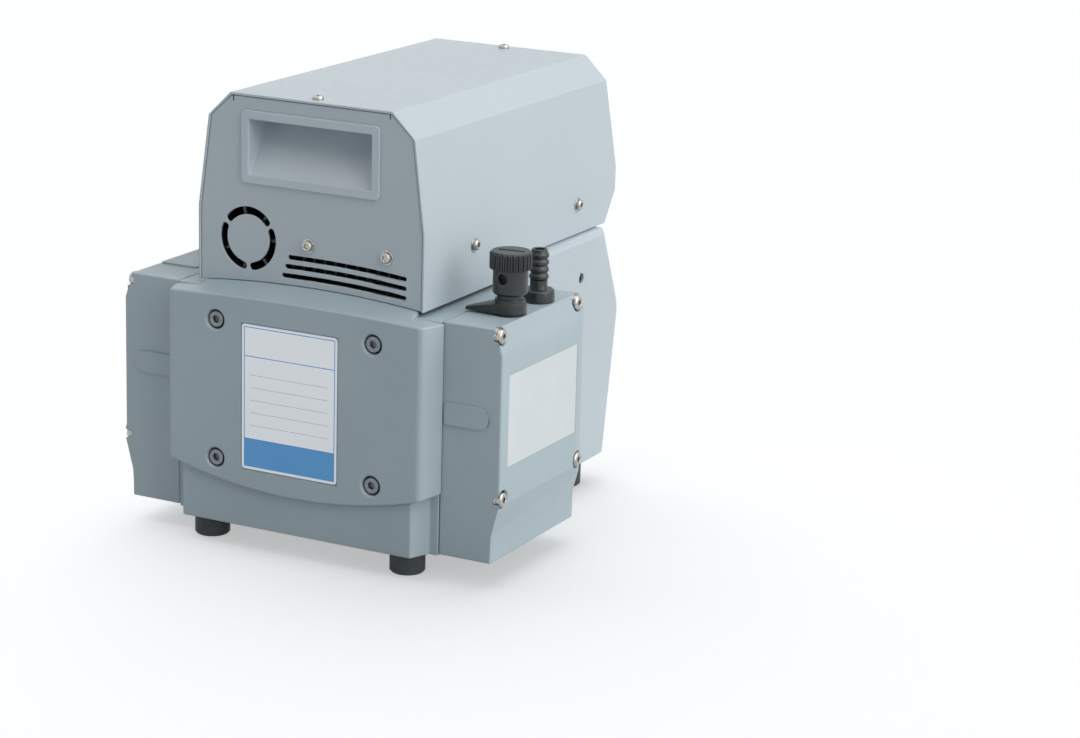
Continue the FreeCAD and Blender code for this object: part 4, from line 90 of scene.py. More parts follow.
def tint(material, pattern, first, second, start=0.3, end=0.7):
    """Mixes two colours by a pattern into the base colour."""
    tree = material.node_tree
    ramp = tree.nodes.new("ShaderNodeValToRGB")
    ramp.color_ramp.elements[0].position = start
    ramp.color_ramp.elements[1].position = end
    ramp.color_ramp.elements[0].color = (*first, 1)
    ramp.color_ramp.elements[1].color = (*second, 1)
    tree.links.new(pattern, ramp.inputs["Fac"])
    tree.links.new(ramp.outputs["Color"], shader_of(material).inputs["Base Color"])


def relief(material, pattern, height, strength=1.0):
    """Adds a bump of this height in metres over the bumps that the shader has."""
    tree = material.node_tree
    bump = tree.nodes.new("ShaderNodeBump")
    bump.inputs["Strength"].default_value = strength
    bump.inputs["Distance"].default_value = height
    normal = shader_of(material).inputs["Normal"]
    if normal.links:
        tree.links.new(normal.links[0].from_socket, bump.inputs["Normal"])
    tree.links.new(pattern, bump.inputs["Height"])
    tree.links.new(bump.outputs["Normal"], normal)


def coat(node, material):
    """Gives a CAD node its finish."""
    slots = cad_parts[node].data.materials
    slots.clear()
    slots.append(material)


def shaded(piece, angle=30):
    """Smooth shading that keeps edges sharper than an angle."""
    piece.data.shade_smooth()
    piece.data.set_sharp_from_angle(angle=math.radians(angle))
    return piece


def piece_from(name, mesh_maker, material):
    """A new object at the origin with its faces outward."""
    mesh = bpy.data.meshes.new(name)
    mesh_maker.to_mesh(mesh)
    mesh_maker.free()
    mesh.materials.append(material)
    piece = bpy.data.objects.new(name, mesh)
    bpy.context.collection.objects.link(piece)
    return piece


def lathe(name, rings, steps, material, foot=(0, 0, 0)):
    """A turned piece. Each ring is its height and its radius, or its radius as a function of the angle."""
    maker = bmesh.new()
    rows = []
    for height, radius in rings:
        if radius == 0:
            rows.append([maker.verts.new((0, 0, height))])
            continue
        row = []
        for index in range(steps):
            angle = 2 * math.pi * index / steps
            reach = radius(angle) if callable(radius) else radius
            row.append(maker.verts.new((reach * math.cos(angle), reach * math.sin(angle), height)))
        rows.append(row)
    for lower, upper in zip(rows, rows[1:]):
        for index in range(steps):
            after = (index + 1) % steps
            if len(lower) == 1:
                corners = (lower[0], upper[after], upper[index])
            elif len(upper) == 1:
                corners = (lower[index], lower[after], upper[0])
            else:
                corners = (lower[index], lower[after], upper[after], upper[index])
            maker.faces.new(corners)
    bmesh.ops.translate(maker, vec=foot, verts=maker.verts)
    bmesh.ops.recalc_face_normals(maker, faces=maker.faces)
    return shaded(piece_from(name, maker, material))


def bearing_of(piece, node, body="base"):
    """The piece stands for a CAD node: it rides on its body, and the node is hidden."""
    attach(piece, body)
    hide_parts(node)
    return piece


rubber = surface("moulded_rubber", (0.035, 0.047, 0.047), 0.62)
tint(rubber, grain(rubber, 60), (0.030, 0.041, 0.041), (0.040, 0.053, 0.053))
spread(rubber, grain(rubber, 240), 0.54, 0.70, "Roughness")
relief(rubber, grain(rubber, 1500), 0.00004)
coat("feet", rubber)

zinc_sheet = surface("galvanised_sheet", (0.60, 0.61, 0.62), 0.42, 1.0)
tint(zinc_sheet, grain(zinc_sheet, 90, 1.0), (0.52, 0.53, 0.55), (0.66, 0.67, 0.68), 0.42, 0.58)
spread(zinc_sheet, grain(zinc_sheet, 180), 0.34, 0.50, "Roughness")
relief(zinc_sheet, grain(zinc_sheet, 700), 0.00002)
coat("base_plate", zinc_sheet)

# The crankcase is a die casting with a thick powder coat in a light blue-grey. The coat rounds its
# edges and leaves a fine orange peel. The front cover, with its arched lower and upper edges, is the
# same casting work and is screwed on in front with four recessed screws.

SAME_SPOT = 2e-6
FLAT_DEGREES, ROUNDED_DEGREES = 1.0, 32
ROUNDING_STEPS = 3
ALONGSIDE = 0.8


def has_room(edge, least):
    """Whether the edges that cross this one at its ends are longer than a least length."""
    way = (edge.verts[1].co - edge.verts[0].co).normalized()
    for other in [link for vert in edge.verts for link in vert.link_edges if link is not edge]:
        other_way = (other.verts[1].co - other.verts[0].co).normalized()
        crosses = abs(other_way.dot(way)) < ALONGSIDE
        if crosses and other.calc_length() <= least:
            return False
    return True


def rounded_copy(node, width, sharpest=180, room=1.3):
    """A merged copy of a CAD node whose edges are rounded, all within the node's own box.

    An edge stays as it is if its faces turn by too few or too many degrees, or if a step beside it is
    narrower than this many widths of the rounding.
    """
    maker = bmesh.new()
    maker.from_mesh(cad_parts[node].data)
    low = [min(vert.co[axis] for vert in maker.verts) for axis in range(3)]
    high = [max(vert.co[axis] for vert in maker.verts) for axis in range(3)]
    bmesh.ops.remove_doubles(maker, verts=maker.verts, dist=SAME_SPOT)
    bmesh.ops.dissolve_limit(
        maker, angle_limit=math.radians(FLAT_DEGREES), verts=maker.verts, edges=maker.edges,
        delimit={"NORMAL"},
    )
    chosen = [
        edge for edge in maker.edges
        if len(edge.link_faces) == 2
        and ROUNDED_DEGREES <= math.degrees(edge.calc_face_angle()) <= sharpest
        and has_room(edge, room * width)
    ]
    bmesh.ops.bevel(
        maker, geom=chosen, offset=width, offset_type="OFFSET", segments=ROUNDING_STEPS, profile=0.5,
        affect="EDGES", clamp_overlap=False,
    )
    for vert in maker.verts:
        vert.co = [min(max(vert.co[axis], low[axis]), high[axis]) for axis in range(3)]
    return maker


def refined(node, name, width, material, body="base", **options):
    """The rounded copy of a CAD node as a piece of its own."""
    piece = shaded(piece_from(name, rounded_copy(node, width, **options), material), 34)
    weights = piece.modifiers.new("even_shading", "WEIGHTED_NORMAL")
    weights.keep_sharp = True
    return bearing_of(piece, node, body)


CAST_PAINT, CAST_PAINT_DEEP = (0.40, 0.485, 0.53), (0.38, 0.462, 0.507)

cast_paint = surface("powder_coat_on_casting", CAST_PAINT, 0.46)
tint(cast_paint, grain(cast_paint, 14, 4.0), CAST_PAINT_DEEP, CAST_PAINT, 0.35, 0.65)
spread(cast_paint, grain(cast_paint, 130), 0.40, 0.52, "Roughness")
relief(cast_paint, grain(cast_paint, 260, 2.0), 0.00012, 0.6)
relief(cast_paint, grain(cast_paint, 1100, 2.0), 0.00003, 0.7)
shader_of(cast_paint).inputs["Specular IOR Level"].default_value = 0.4

refined("crankcase", "crankcase_casting", 0.0008, cast_paint)
refined("front_cover", "front_cover_casting", 0.0014, cast_paint)

# The nameplate is a thin printed foil in a shallow pocket of the front cover. It is white, with a
# thin blue line round its edge, ruled lines and a blue band along its foot, and bears no words.

NAMEPLATE_LOW, NAMEPLATE_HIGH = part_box("nameplate")
INK_BLUE = (0.10, 0.32, 0.64)


def combined(tree, operation, first, second):
    """One operation on two values, each a number or the output of another node."""
    node = tree.nodes.new("ShaderNodeMath")
    node.operation = operation
    for socket, value in zip(node.inputs, (first, second)):
        if isinstance(value, float):
            socket.default_value = value
        else:
            tree.links.new(value, socket)
    return node.outputs["Value"]


def between(tree, value, low, high):
    """One where a value lies between two limits, and otherwise zero."""
    above = combined(tree, "GREATER_THAN", value, low)
    below = combined(tree, "LESS_THAN", value, high)
    return combined(tree, "MULTIPLY", above, below)


def printed(material, across, up, areas, paper, paper_deep):
    """Prints coloured rectangles, given as (low across, high across, low up, high up, ink), on a film."""
    tree = material.node_tree
    where = tree.nodes.new("ShaderNodeTexCoord")
    split = tree.nodes.new("ShaderNodeSeparateXYZ")
    tree.links.new(where.outputs["Object"], split.inputs["Vector"])
    base = tree.nodes.new("ShaderNodeValToRGB")
    base.color_ramp.elements[0].color = (*paper_deep, 1)
    base.color_ramp.elements[1].color = (*paper, 1)
    tree.links.new(grain(material, 30), base.inputs["Fac"])
    colour = base.outputs["Color"]
    for low, high, foot, head, ink in areas:
        in_width = between(tree, split.outputs[across], low, high)
        in_height = between(tree, split.outputs[up], foot, head)
        inside = combined(tree, "MULTIPLY", in_width, in_height)
        layer = tree.nodes.new("ShaderNodeMix")
        layer.data_type = "RGBA"
        layer.inputs["B"].default_value = (*ink, 1)
        tree.links.new(inside, layer.inputs["Factor"])
        tree.links.new(colour, layer.inputs["A"])
        colour = layer.outputs["Result"]
    tree.links.new(colour, shader_of(material).inputs["Base Color"])


def frame_lines(low, high, foot, head, width, ink):
    """Four thin areas along the edges of a rectangle."""
    return [
        (low, high, foot, foot + width, ink),
        (low, high, head - width, head, ink),
        (low, low + width, foot, head, ink),
        (high - width, high, foot, head, ink),
    ]


plate_print = surface("printed_nameplate", (0.86, 0.89, 0.93), 0.36, 0.35)
edge_inset, line_width = 0.0014, 0.0005
band_height, header_depth = 0.0165, 0.0170
rule_margin, rule_width, rule_pitch, first_rule_depth = 0.004, 0.00022, 0.0072, 0.0275
plate_low, plate_foot = NAMEPLATE_LOW[0] + edge_inset, NAMEPLATE_LOW[2] + edge_inset
plate_high, plate_head = NAMEPLATE_HIGH[0] - edge_inset, NAMEPLATE_HIGH[2] - edge_inset
header_rule = plate_head - header_depth
INK_GREY = (0.30, 0.36, 0.42)
plate_areas = frame_lines(plate_low, plate_high, plate_foot, plate_head, line_width, INK_BLUE)
plate_areas.append((plate_low, plate_high, plate_foot, plate_foot + band_height, INK_BLUE))
plate_areas.append((plate_low, plate_high, header_rule, header_rule + line_width, INK_BLUE))
for row in range(5):
    rule = plate_head - first_rule_depth - row * rule_pitch
    plate_areas.append((plate_low + rule_margin, plate_high - rule_margin, rule, rule + rule_width, INK_GREY))
printed(plate_print, "X", "Z", plate_areas, (0.88, 0.91, 0.95), (0.84, 0.875, 0.915))
spread(plate_print, grain(plate_print, 70), 0.36, 0.46, "Roughness")
relief(plate_print, grain(plate_print, 300), 0.000006)
coat("nameplate", plate_print)

# Every outside screw is steel, those of the front cover dull and dark, the others zinc plated. The front
# cover has cylinder heads with a hexagon socket, the head covers pan heads on two washers, and the hood
# smaller pan heads with a six-lobed socket, on a washer wherever they clamp the sheet.

SCREW_STEPS = 48
TURN_BETWEEN_SCREWS = 0.9


def six_lobes(largest, smallest):
    middle, swing = (largest + smallest) / 2, (largest - smallest) / 2
    return lambda angle: middle + swing * math.cos(6 * angle)


def hexagon(corner):
    third = math.pi / 3
    return lambda angle: corner * math.cos(third / 2) / math.cos(angle % third - third / 2)


def screw_rings(shank, length, washers, head, height, socket, depth, crown):
    """Rings of a screw from the end of its shank to the floor of its socket.

    Each washer is its radius and its thickness. The crown is the radius that rounds the head's top.
    """
    chamfer = 0.00015
    tip, taper, floor_slope = 0.8 * shank, 0.3 * shank, 0.15
    rings = [(-length, 0), (-length, tip), (-length + taper, shank), (0, shank)]
    level = 0.0
    for radius, thickness in washers:
        rings += [
            (level, radius - chamfer), (level + chamfer, radius),
            (level + thickness - chamfer, radius), (level + thickness, radius - chamfer),
        ]
        level += thickness
    rings += [(level, head - chamfer), (level + chamfer, head), (level + height - crown, head)]
    for turn in (0.25, 0.5, 0.75, 1.0):
        angle = turn * math.pi / 2
        rings.append((level + height - crown + crown * math.sin(angle), head - crown * (1 - math.cos(angle))))
    top = level + height
    rings += [
        (top, lambda angle: socket(angle) + chamfer), (top - chamfer, socket), (top - depth, socket),
        (top - depth - floor_slope * socket(0), 0),
    ]
    return rings


def screw_places(tree_name):
    """A node tree that sets one screw at each point, turned outward, and gives it its finish."""
    tree = bpy.data.node_groups.new(tree_name, "GeometryNodeTree")
    interface = tree.interface
    interface.new_socket("Places", in_out="INPUT", socket_type="NodeSocketGeometry")
    interface.new_socket("Screw", in_out="INPUT", socket_type="NodeSocketObject")
    interface.new_socket("Turn Between Screws", in_out="INPUT", socket_type="NodeSocketFloat")
    interface.new_socket("Finish", in_out="INPUT", socket_type="NodeSocketMaterial")
    interface.new_socket("Screws", in_out="OUTPUT", socket_type="NodeSocketGeometry")
    entry = tree.nodes.new("NodeGroupInput")
    leave = tree.nodes.new("NodeGroupOutput")
    outward = tree.nodes.new("GeometryNodeInputNamedAttribute")
    outward.data_type = "FLOAT_VECTOR"
    outward.inputs["Name"].default_value = "outward"
    align = tree.nodes.new("FunctionNodeAlignRotationToVector")
    align.axis = "Z"
    order = tree.nodes.new("GeometryNodeInputIndex")
    angle = combined(tree, "MULTIPLY", order.outputs["Index"], entry.outputs["Turn Between Screws"])
    about = tree.nodes.new("FunctionNodeAxisAngleToRotation")
    about.inputs["Axis"].default_value = (0, 0, 1)
    turned = tree.nodes.new("FunctionNodeRotateRotation")
    turned.rotation_space = "LOCAL"
    part = tree.nodes.new("GeometryNodeObjectInfo")
    spots = tree.nodes.new("GeometryNodeInstanceOnPoints")
    real = tree.nodes.new("GeometryNodeRealizeInstances")
    finish = tree.nodes.new("GeometryNodeSetMaterial")
    join = tree.links.new
    join(outward.outputs["Attribute"], align.inputs["Vector"])
    join(angle, about.inputs["Angle"])
    join(align.outputs["Rotation"], turned.inputs["Rotation"])
    join(about.outputs["Rotation"], turned.inputs["Rotate By"])
    join(entry.outputs["Screw"], part.inputs["Object"])
    join(entry.outputs["Places"], spots.inputs["Points"])
    join(part.outputs["Geometry"], spots.inputs["Instance"])
    join(turned.outputs["Rotation"], spots.inputs["Rotation"])
    join(spots.outputs["Instances"], real.inputs["Geometry"])
    join(real.outputs["Geometry"], finish.inputs["Geometry"])
    join(entry.outputs["Finish"], finish.inputs["Material"])
    join(finish.outputs["Geometry"], leave.inputs["Screws"])
    return tree


def grown(piece, tree, **inputs):
    """Runs a node tree on a piece and keeps the result as its plain mesh."""
    modifier = piece.modifiers.new("growth", "NODES")
    modifier.node_group = tree
    for item in tree.interface.items_tree:
        key = item.name.lower().replace(" ", "_")
        if item.in_out == "INPUT" and key in inputs:
            modifier[item.identifier] = inputs[key]
    bpy.context.view_layer.update()
    made = piece.evaluated_get(bpy.context.evaluated_depsgraph_get())
    mesh = bpy.data.meshes.new_from_object(made)
    piece.modifiers.remove(modifier)
    piece.data = mesh
    return piece


screw_tree = screw_places("screws_at_places")
zinc_steel = surface("zinc_plated_steel", (0.42, 0.41, 0.39), 0.28, 1.0)
tint(zinc_steel, grain(zinc_steel, 500), (0.34, 0.33, 0.31), (0.50, 0.49, 0.46))
spread(zinc_steel, grain(zinc_steel, 900), 0.20, 0.38, "Roughness")
relief(zinc_steel, grain(zinc_steel, 2500), 0.00001)

dull_steel = surface("dull_cover_steel", (0.20, 0.22, 0.24), 0.40, 0.8)
tint(dull_steel, grain(dull_steel, 500), (0.16, 0.18, 0.20), (0.25, 0.27, 0.29))
spread(dull_steel, grain(dull_steel, 900), 0.32, 0.48, "Roughness")
relief(dull_steel, grain(dull_steel, 2500), 0.00001)


def screws(name, places, rings, finish=zinc_steel):
    """Screws at these places, each given as its spot and the way out."""
    sample = lathe(name + "_sample", rings, SCREW_STEPS, finish)
    spots = bpy.data.meshes.new(name)
    spots.from_pydata([spot for spot, way in places], [], [])
    ways = spots.attributes.new("outward", "FLOAT_VECTOR", "POINT")
    for entry, (spot, way) in zip(ways.data, places):
        entry.vector = way
    piece = bpy.data.objects.new(name, spots)
    bpy.context.collection.objects.link(piece)
    grown(piece, screw_tree, screw=sample, turn_between_screws=TURN_BETWEEN_SCREWS, finish=finish)
    bpy.data.objects.remove(sample)
    return shaded(piece, 32)


COVER_SCREW_X, COVER_SCREW_SEAT = 0.0503, -0.1185
COVER_SCREW_HEIGHTS = (0.0512, 0.1309)
cover_places = [
    ((x, COVER_SCREW_SEAT, z), (0, -1, 0))
    for x in (-COVER_SCREW_X, COVER_SCREW_X) for z in COVER_SCREW_HEIGHTS
]
cover_rings = screw_rings(
    shank=0.0025, length=0.024, washers=[],
    head=0.0045, height=0.0055, socket=hexagon(0.0024), depth=0.0028, crown=0.0005,
)
bearing_of(screws("front_cover_screws", cover_places, cover_rings, dull_steel), "cover_screws")

HEAD_SCREW_FRONT, HEAD_SCREW_REAR = -0.1043, -0.0148
SEAT_AT_HEIGHT = {0.050: 0.1176, 0.141: 0.1152}
head_places = [
    ((side * seat, y, z), (side, 0, 0))
    for side in (-1, 1) for z, seat in SEAT_AT_HEIGHT.items() for y in (HEAD_SCREW_FRONT, HEAD_SCREW_REAR)
]
head_rings = screw_rings(
    shank=0.0025, length=0.0367, washers=[(0.0047, 0.0008), (0.0047, 0.0008)],
    head=0.0042, height=0.003, socket=six_lobes(0.0019, 0.0014), depth=0.0016, crown=0.0014,
)
bearing_of(screws("head_cover_screws", head_places, head_rings), "head_screws")

HOOD_SIDE, HOOD_SIDE_SCREW_HEIGHT, HOOD_SIDE_SCREWS = 0.0722, 0.1753, (-0.052, 0.0746)
HOOD_FACE, HOOD_FACE_SCREW_HEIGHT, HOOD_FACE_SCREWS = -0.1077, 0.1756, (-0.0009, 0.0487)
HOOD_ROOF, HOOD_ROOF_SCREWS = 0.2558, (-0.1001, 0.1137)
side_places = [
    ((side * HOOD_SIDE, y, HOOD_SIDE_SCREW_HEIGHT), (side, 0, 0))
    for side in (-1, 1) for y in HOOD_SIDE_SCREWS
]
face_places = [((x, HOOD_FACE, HOOD_FACE_SCREW_HEIGHT), (0, -1, 0)) for x in HOOD_FACE_SCREWS]
roof_places = [((0, y, HOOD_ROOF), (0, 0, 1)) for y in HOOD_ROOF_SCREWS]
hood_screw = {
    "shank": 0.002, "length": 0.007, "head": 0.0031, "height": 0.0022,
    "socket": six_lobes(0.00165, 0.0012), "depth": 0.0012, "crown": 0.0012,
}
clamp_rings = screw_rings(washers=[(0.0041, 0.0006)], **hood_screw)
clamped = screws("hood_clamp_screws", side_places + face_places, clamp_rings)
roof = screws("hood_roof_screws", roof_places, screw_rings(washers=[], **hood_screw))
for piece in (clamped, roof):
    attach(piece, "base")
    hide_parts("hood_screws")
coat("manifold_bolts", zinc_steel)

# Inside the crankcase turn a ground crankshaft with two counterweights and two connecting rods of
# cast aluminium, on ball bearings. The clamping discs hold the diaphragms.

ground_steel = surface("ground_steel", (0.58, 0.58, 0.59), 0.24, 1.0)
tint(ground_steel, grain(ground_steel, 120), (0.52, 0.52, 0.53), (0.62, 0.62, 0.63))
spread(ground_steel, grain(ground_steel, 900, 2.0, (1, 8, 1)), 0.16, 0.34, "Roughness")
relief(ground_steel, grain(ground_steel, 1600, 2.0, (1, 6, 1)), 0.000006)
for node in ("crankshaft", "shaft_bearings", "rod_bearing_right", "rod_bearing_left",
             "clamp_discs_right", "clamp_discs_left"):
    coat(node, ground_steel)

sawn_steel = surface("sawn_steel", (0.36, 0.36, 0.37), 0.42, 1.0)
tint(sawn_steel, grain(sawn_steel, 60), (0.30, 0.30, 0.31), (0.42, 0.41, 0.41))
spread(sawn_steel, grain(sawn_steel, 500), 0.34, 0.52, "Roughness")
relief(sawn_steel, grain(sawn_steel, 900), 0.00002)
coat("counterweights", sawn_steel)

cast_aluminium = surface("cast_aluminium", (0.66, 0.67, 0.68), 0.46, 1.0)
tint(cast_aluminium, grain(cast_aluminium, 50), (0.58, 0.59, 0.60), (0.70, 0.71, 0.72))
spread(cast_aluminium, grain(cast_aluminium, 420), 0.38, 0.58, "Roughness")
relief(cast_aluminium, grain(cast_aluminium, 1300), 0.00004)
for node in ("rod_right", "rod_left", "head_lid_right", "head_lid_left", "manifold_right", "manifold_left",
             "motor_end_shield"):
    coat(node, cast_aluminium)

# Each head has a reinforced rubber diaphragm below its lid, a valve plate with rubber discs and a
# manifold. A plastic tube joins the two manifolds below the crankshaft.

woven_rubber = surface("reinforced_rubber", (0.022, 0.022, 0.024), 0.55)
tint(woven_rubber, grain(woven_rubber, 90), (0.018, 0.018, 0.020), (0.030, 0.030, 0.032))
spread(woven_rubber, grain(woven_rubber, 300), 0.48, 0.62, "Roughness")
relief(woven_rubber, grain(woven_rubber, 2200), 0.00003)
for node in ("diaphragm_right", "diaphragm_left", "valve_discs"):
    coat(node, woven_rubber)

ground_plate = surface("ground_aluminium", (0.70, 0.71, 0.72), 0.30, 1.0)
tint(ground_plate, grain(ground_plate, 80), (0.64, 0.65, 0.66), (0.74, 0.75, 0.76))
spread(ground_plate, grain(ground_plate, 700, 2.0, (1, 12, 1)), 0.22, 0.38, "Roughness")
relief(ground_plate, grain(ground_plate, 1800, 2.0, (1, 10, 1)), 0.000008)
coat("valve_plate_right", ground_plate)
coat("valve_plate_left", ground_plate)

black_plastic = surface("moulded_black_plastic", (0.018, 0.025, 0.025), 0.32)
tint(black_plastic, grain(black_plastic, 70), (0.015, 0.022, 0.022), (0.023, 0.031, 0.031))
spread(black_plastic, grain(black_plastic, 300), 0.26, 0.38, "Roughness")
relief(black_plastic, grain(black_plastic, 2600), 0.00003)
coat("crossover_tube", black_plastic)

# The head covers are castings in the same powder coat, with a lengthwise relief at the front. The thin
# lips beside their screw recesses stay sharp. Only the right one has a label: a pale film in a shallow
# pocket, here without print.

refined("head_cover_right", "right_head_cover", 0.0010, cast_paint, sharpest=140, room=2.2)
refined("head_cover_left", "left_head_cover", 0.0010, cast_paint, sharpest=140, room=2.2)

label_film = surface("pale_label_film", (0.62, 0.67, 0.70), 0.40)
tint(label_film, grain(label_film, 25), (0.60, 0.65, 0.68), (0.64, 0.69, 0.72))
spread(label_film, grain(label_film, 90), 0.32, 0.44, "Roughness")
relief(label_film, grain(label_film, 420), 0.00002)
coat("side_label", label_film)

# The motor: an aluminium tube with a laminated stator, copper windings and a laminated rotor, and a
# plastic fan behind its end shield.

drawn_tube = surface("drawn_aluminium", (0.64, 0.65, 0.66), 0.36, 1.0)
tint(drawn_tube, grain(drawn_tube, 60), (0.58, 0.59, 0.60), (0.68, 0.69, 0.70))
spread(drawn_tube, grain(drawn_tube, 500, 2.0, (8, 1, 8)), 0.28, 0.44, "Roughness")
relief(drawn_tube, grain(drawn_tube, 1500, 2.0, (8, 1, 8)), 0.00001)
coat("motor_housing", drawn_tube)

laminations = surface("stacked_sheets", (0.30, 0.30, 0.32), 0.45, 1.0)
tint(laminations, grain(laminations, 900, 1.0, (0.02, 2, 0.02)), (0.20, 0.20, 0.22), (0.40, 0.40, 0.42))
spread(laminations, grain(laminations, 600), 0.36, 0.54, "Roughness")
relief(laminations, grain(laminations, 900, 1.0, (0.02, 2, 0.02)), 0.00005)
coat("stator_core", laminations)
coat("rotor", laminations)

copper_wire = surface("enamelled_copper", (0.45, 0.16, 0.06), 0.32, 0.85)
tint(copper_wire, grain(copper_wire, 400, 2.0, (1, 4, 1)), (0.30, 0.09, 0.03), (0.58, 0.24, 0.10))
spread(copper_wire, grain(copper_wire, 500), 0.24, 0.42, "Roughness")
relief(copper_wire, grain(copper_wire, 700, 2.0, (1, 4, 1)), 0.0003)
coat("stator_windings", copper_wire)
coat("motor_fan", black_plastic)

# The shroud over the motor and the hood of the electronics are folded sheet steel. Their powder coat
# is finer than that of the castings, and a little glossier.

SHEET_PAINT, SHEET_PAINT_DEEP = (0.49, 0.56, 0.61), (0.47, 0.54, 0.59)

sheet_paint = surface("powder_coat_on_sheet", SHEET_PAINT, 0.40)
tint(sheet_paint, grain(sheet_paint, 9, 4.0), SHEET_PAINT_DEEP, SHEET_PAINT, 0.35, 0.65)
spread(sheet_paint, grain(sheet_paint, 160), 0.34, 0.46, "Roughness")
relief(sheet_paint, grain(sheet_paint, 1300, 2.0), 0.00003, 0.7)
shader_of(sheet_paint).inputs["Specular IOR Level"].default_value = 0.45

refined("motor_shroud", "motor_shroud_sheet", 0.0008, sheet_paint)
refined("hood_cover", "hood_cover_sheet", 0.0005, sheet_paint)
refined("hood_front_plate", "hood_front_sheet", 0.0004, sheet_paint)
refined("hood_rear_plate", "hood_rear_sheet", 0.0004, sheet_paint)

# A grip is moulded in blue-grey plastic and snapped into each hood plate. Its pocket deepens upwards
# for the fingers, and its bottom catches the light.

grip_plastic = surface("moulded_grip_plastic", (0.53, 0.60, 0.65), 0.46)
tint(grip_plastic, grain(grip_plastic, 30), (0.515, 0.585, 0.635), (0.545, 0.615, 0.665))
spread(grip_plastic, grain(grip_plastic, 300), 0.40, 0.54, "Roughness")
relief(grip_plastic, grain(grip_plastic, 1700, 2.0), 0.00005)
refined("front_grip", "front_grip_insert", 0.0006, grip_plastic)
refined("rear_grip", "rear_grip_insert", 0.0006, grip_plastic)

# Inside the hood: a galvanised tray, the inverter's green board with its capacitors, an aluminium
# heat sink behind the front plate, and a small black fan behind the round vent.

coat("hood_tray", zinc_sheet)
black_anodised = surface("black_anodised_aluminium", (0.030, 0.032, 0.035), 0.42, 0.6)
tint(black_anodised, grain(black_anodised, 80), (0.024, 0.026, 0.029), (0.040, 0.042, 0.046))
spread(black_anodised, grain(black_anodised, 600), 0.36, 0.50, "Roughness")
relief(black_anodised, grain(black_anodised, 1400), 0.00001)
coat("heat_sink", black_anodised)
coat("cooler_frame", black_plastic)
coat("cooler_rotor", black_plastic)

board_green = surface("solder_mask", (0.02, 0.13, 0.05), 0.30)
tint(board_green, grain(board_green, 420, 1.0), (0.012, 0.09, 0.035), (0.03, 0.17, 0.07), 0.46, 0.54)
spread(board_green, grain(board_green, 300), 0.24, 0.36, "Roughness")
relief(board_green, grain(board_green, 420, 1.0), 0.00004)
coat("inverter_board", board_green)

sleeve = surface("capacitor_sleeve", (0.02, 0.025, 0.05), 0.28)
tint(sleeve, grain(sleeve, 60), (0.016, 0.02, 0.045), (0.03, 0.035, 0.06))
spread(sleeve, grain(sleeve, 200), 0.22, 0.34, "Roughness")
relief(sleeve, grain(sleeve, 900), 0.00003)
coat("capacitors", sleeve)

# The sockets and the switch in the rear plate are black plastic parts that snap in from outside. The
# blades of the inlet are nickel plated brass.

nickel = surface("nickel_plate", (0.62, 0.59, 0.53), 0.22, 1.0)
tint(nickel, grain(nickel, 300), (0.55, 0.52, 0.47), (0.68, 0.65, 0.58))
spread(nickel, grain(nickel, 800), 0.16, 0.30, "Roughness")
relief(nickel, grain(nickel, 1800), 0.000008)
coat("inlet_blades", nickel)
refined("mains_inlet", "mains_inlet_body", 0.0004, black_plastic)
refined("mains_switch", "mains_switch_frame", 0.0003, black_plastic)
refined("mains_rocker", "mains_rocker_button", 0.0003, black_plastic, "rocker")
coat("bus_socket", black_plastic)

# The gas ballast valve is turned and moulded from black plastic: a fixed stem, a ring with a
# pointer that turns with the body and its air hole, and a knurled cap with a slot.

coat("ballast_seat", black_plastic)
refined("ballast_lever", "ballast_ring_and_body", 0.0004, black_plastic, "ballast_knob")
refined("ballast_cap", "ballast_knurled_cap", 0.0003, black_plastic, "ballast_knob")

# Each hose nozzle is one turned plastic piece: a collar and a neck below four barbs, with a bore.

NOZZLE_X, NOZZLE_Y, NOZZLE_SEAT = 0.1065, -0.0399, 0.1456
NOZZLE_STEPS, SOFT_EDGE = 64, 0.0003
BARBS, BARB_PITCH, BARB_ROOT, BARB_REACH = 4, 0.004, 0.0045, 0.0055


def barb_rings(start):
    """One barb, which rises to its reach, keeps it for a short land and drops back."""
    rise, land = 0.0008, 0.0016
    crest = start + rise + land
    return [
        (start, BARB_ROOT), (start + rise - SOFT_EDGE, BARB_REACH - 1.3 * SOFT_EDGE),
        (start + rise, BARB_REACH - SOFT_EDGE / 3), (start + rise + SOFT_EDGE, BARB_REACH),
        (crest - SOFT_EDGE, BARB_REACH), (crest, BARB_REACH - SOFT_EDGE / 4),
        (crest + SOFT_EDGE, BARB_REACH - SOFT_EDGE),
    ]


def nozzle(name, node, side, lift):
    """A barbed nozzle over one head, with rounded edges."""
    bore, spigot, collar, neck = 0.003, 0.0046, 0.009, 0.0049
    spigot_length, collar_height, collar_edge, neck_height, lip = 0.011, 0.0071, 0.0008, 0.0053, 0.0012
    base, soft = NOZZLE_SEAT + lift, SOFT_EDGE
    foot, top = base - spigot_length, base + collar_height
    first_barb = top + neck_height
    end = first_barb + BARBS * BARB_PITCH + lip
    rings = [
        (foot, bore), (foot, spigot), (base, spigot), (base, collar - soft), (base + soft, collar),
        (top - collar_edge - soft, collar), (top - collar_edge, collar - soft / 3),
        (top - soft / 3, collar - collar_edge), (top, collar - collar_edge - soft),
        (top, neck + soft), (top + soft / 3, neck + soft / 3), (top + soft, neck),
        (first_barb - 0.0001, neck),
    ]
    for index in range(BARBS):
        rings += barb_rings(first_barb + index * BARB_PITCH)
    rings += [
        (end - lip, BARB_ROOT), (end - soft, BARB_ROOT), (end, BARB_ROOT - soft), (end, bore + soft),
        (end - soft, bore), (foot, bore),
    ]
    return bearing_of(lathe(name, rings, NOZZLE_STEPS, black_plastic, (side * NOZZLE_X, NOZZLE_Y, 0)), node)


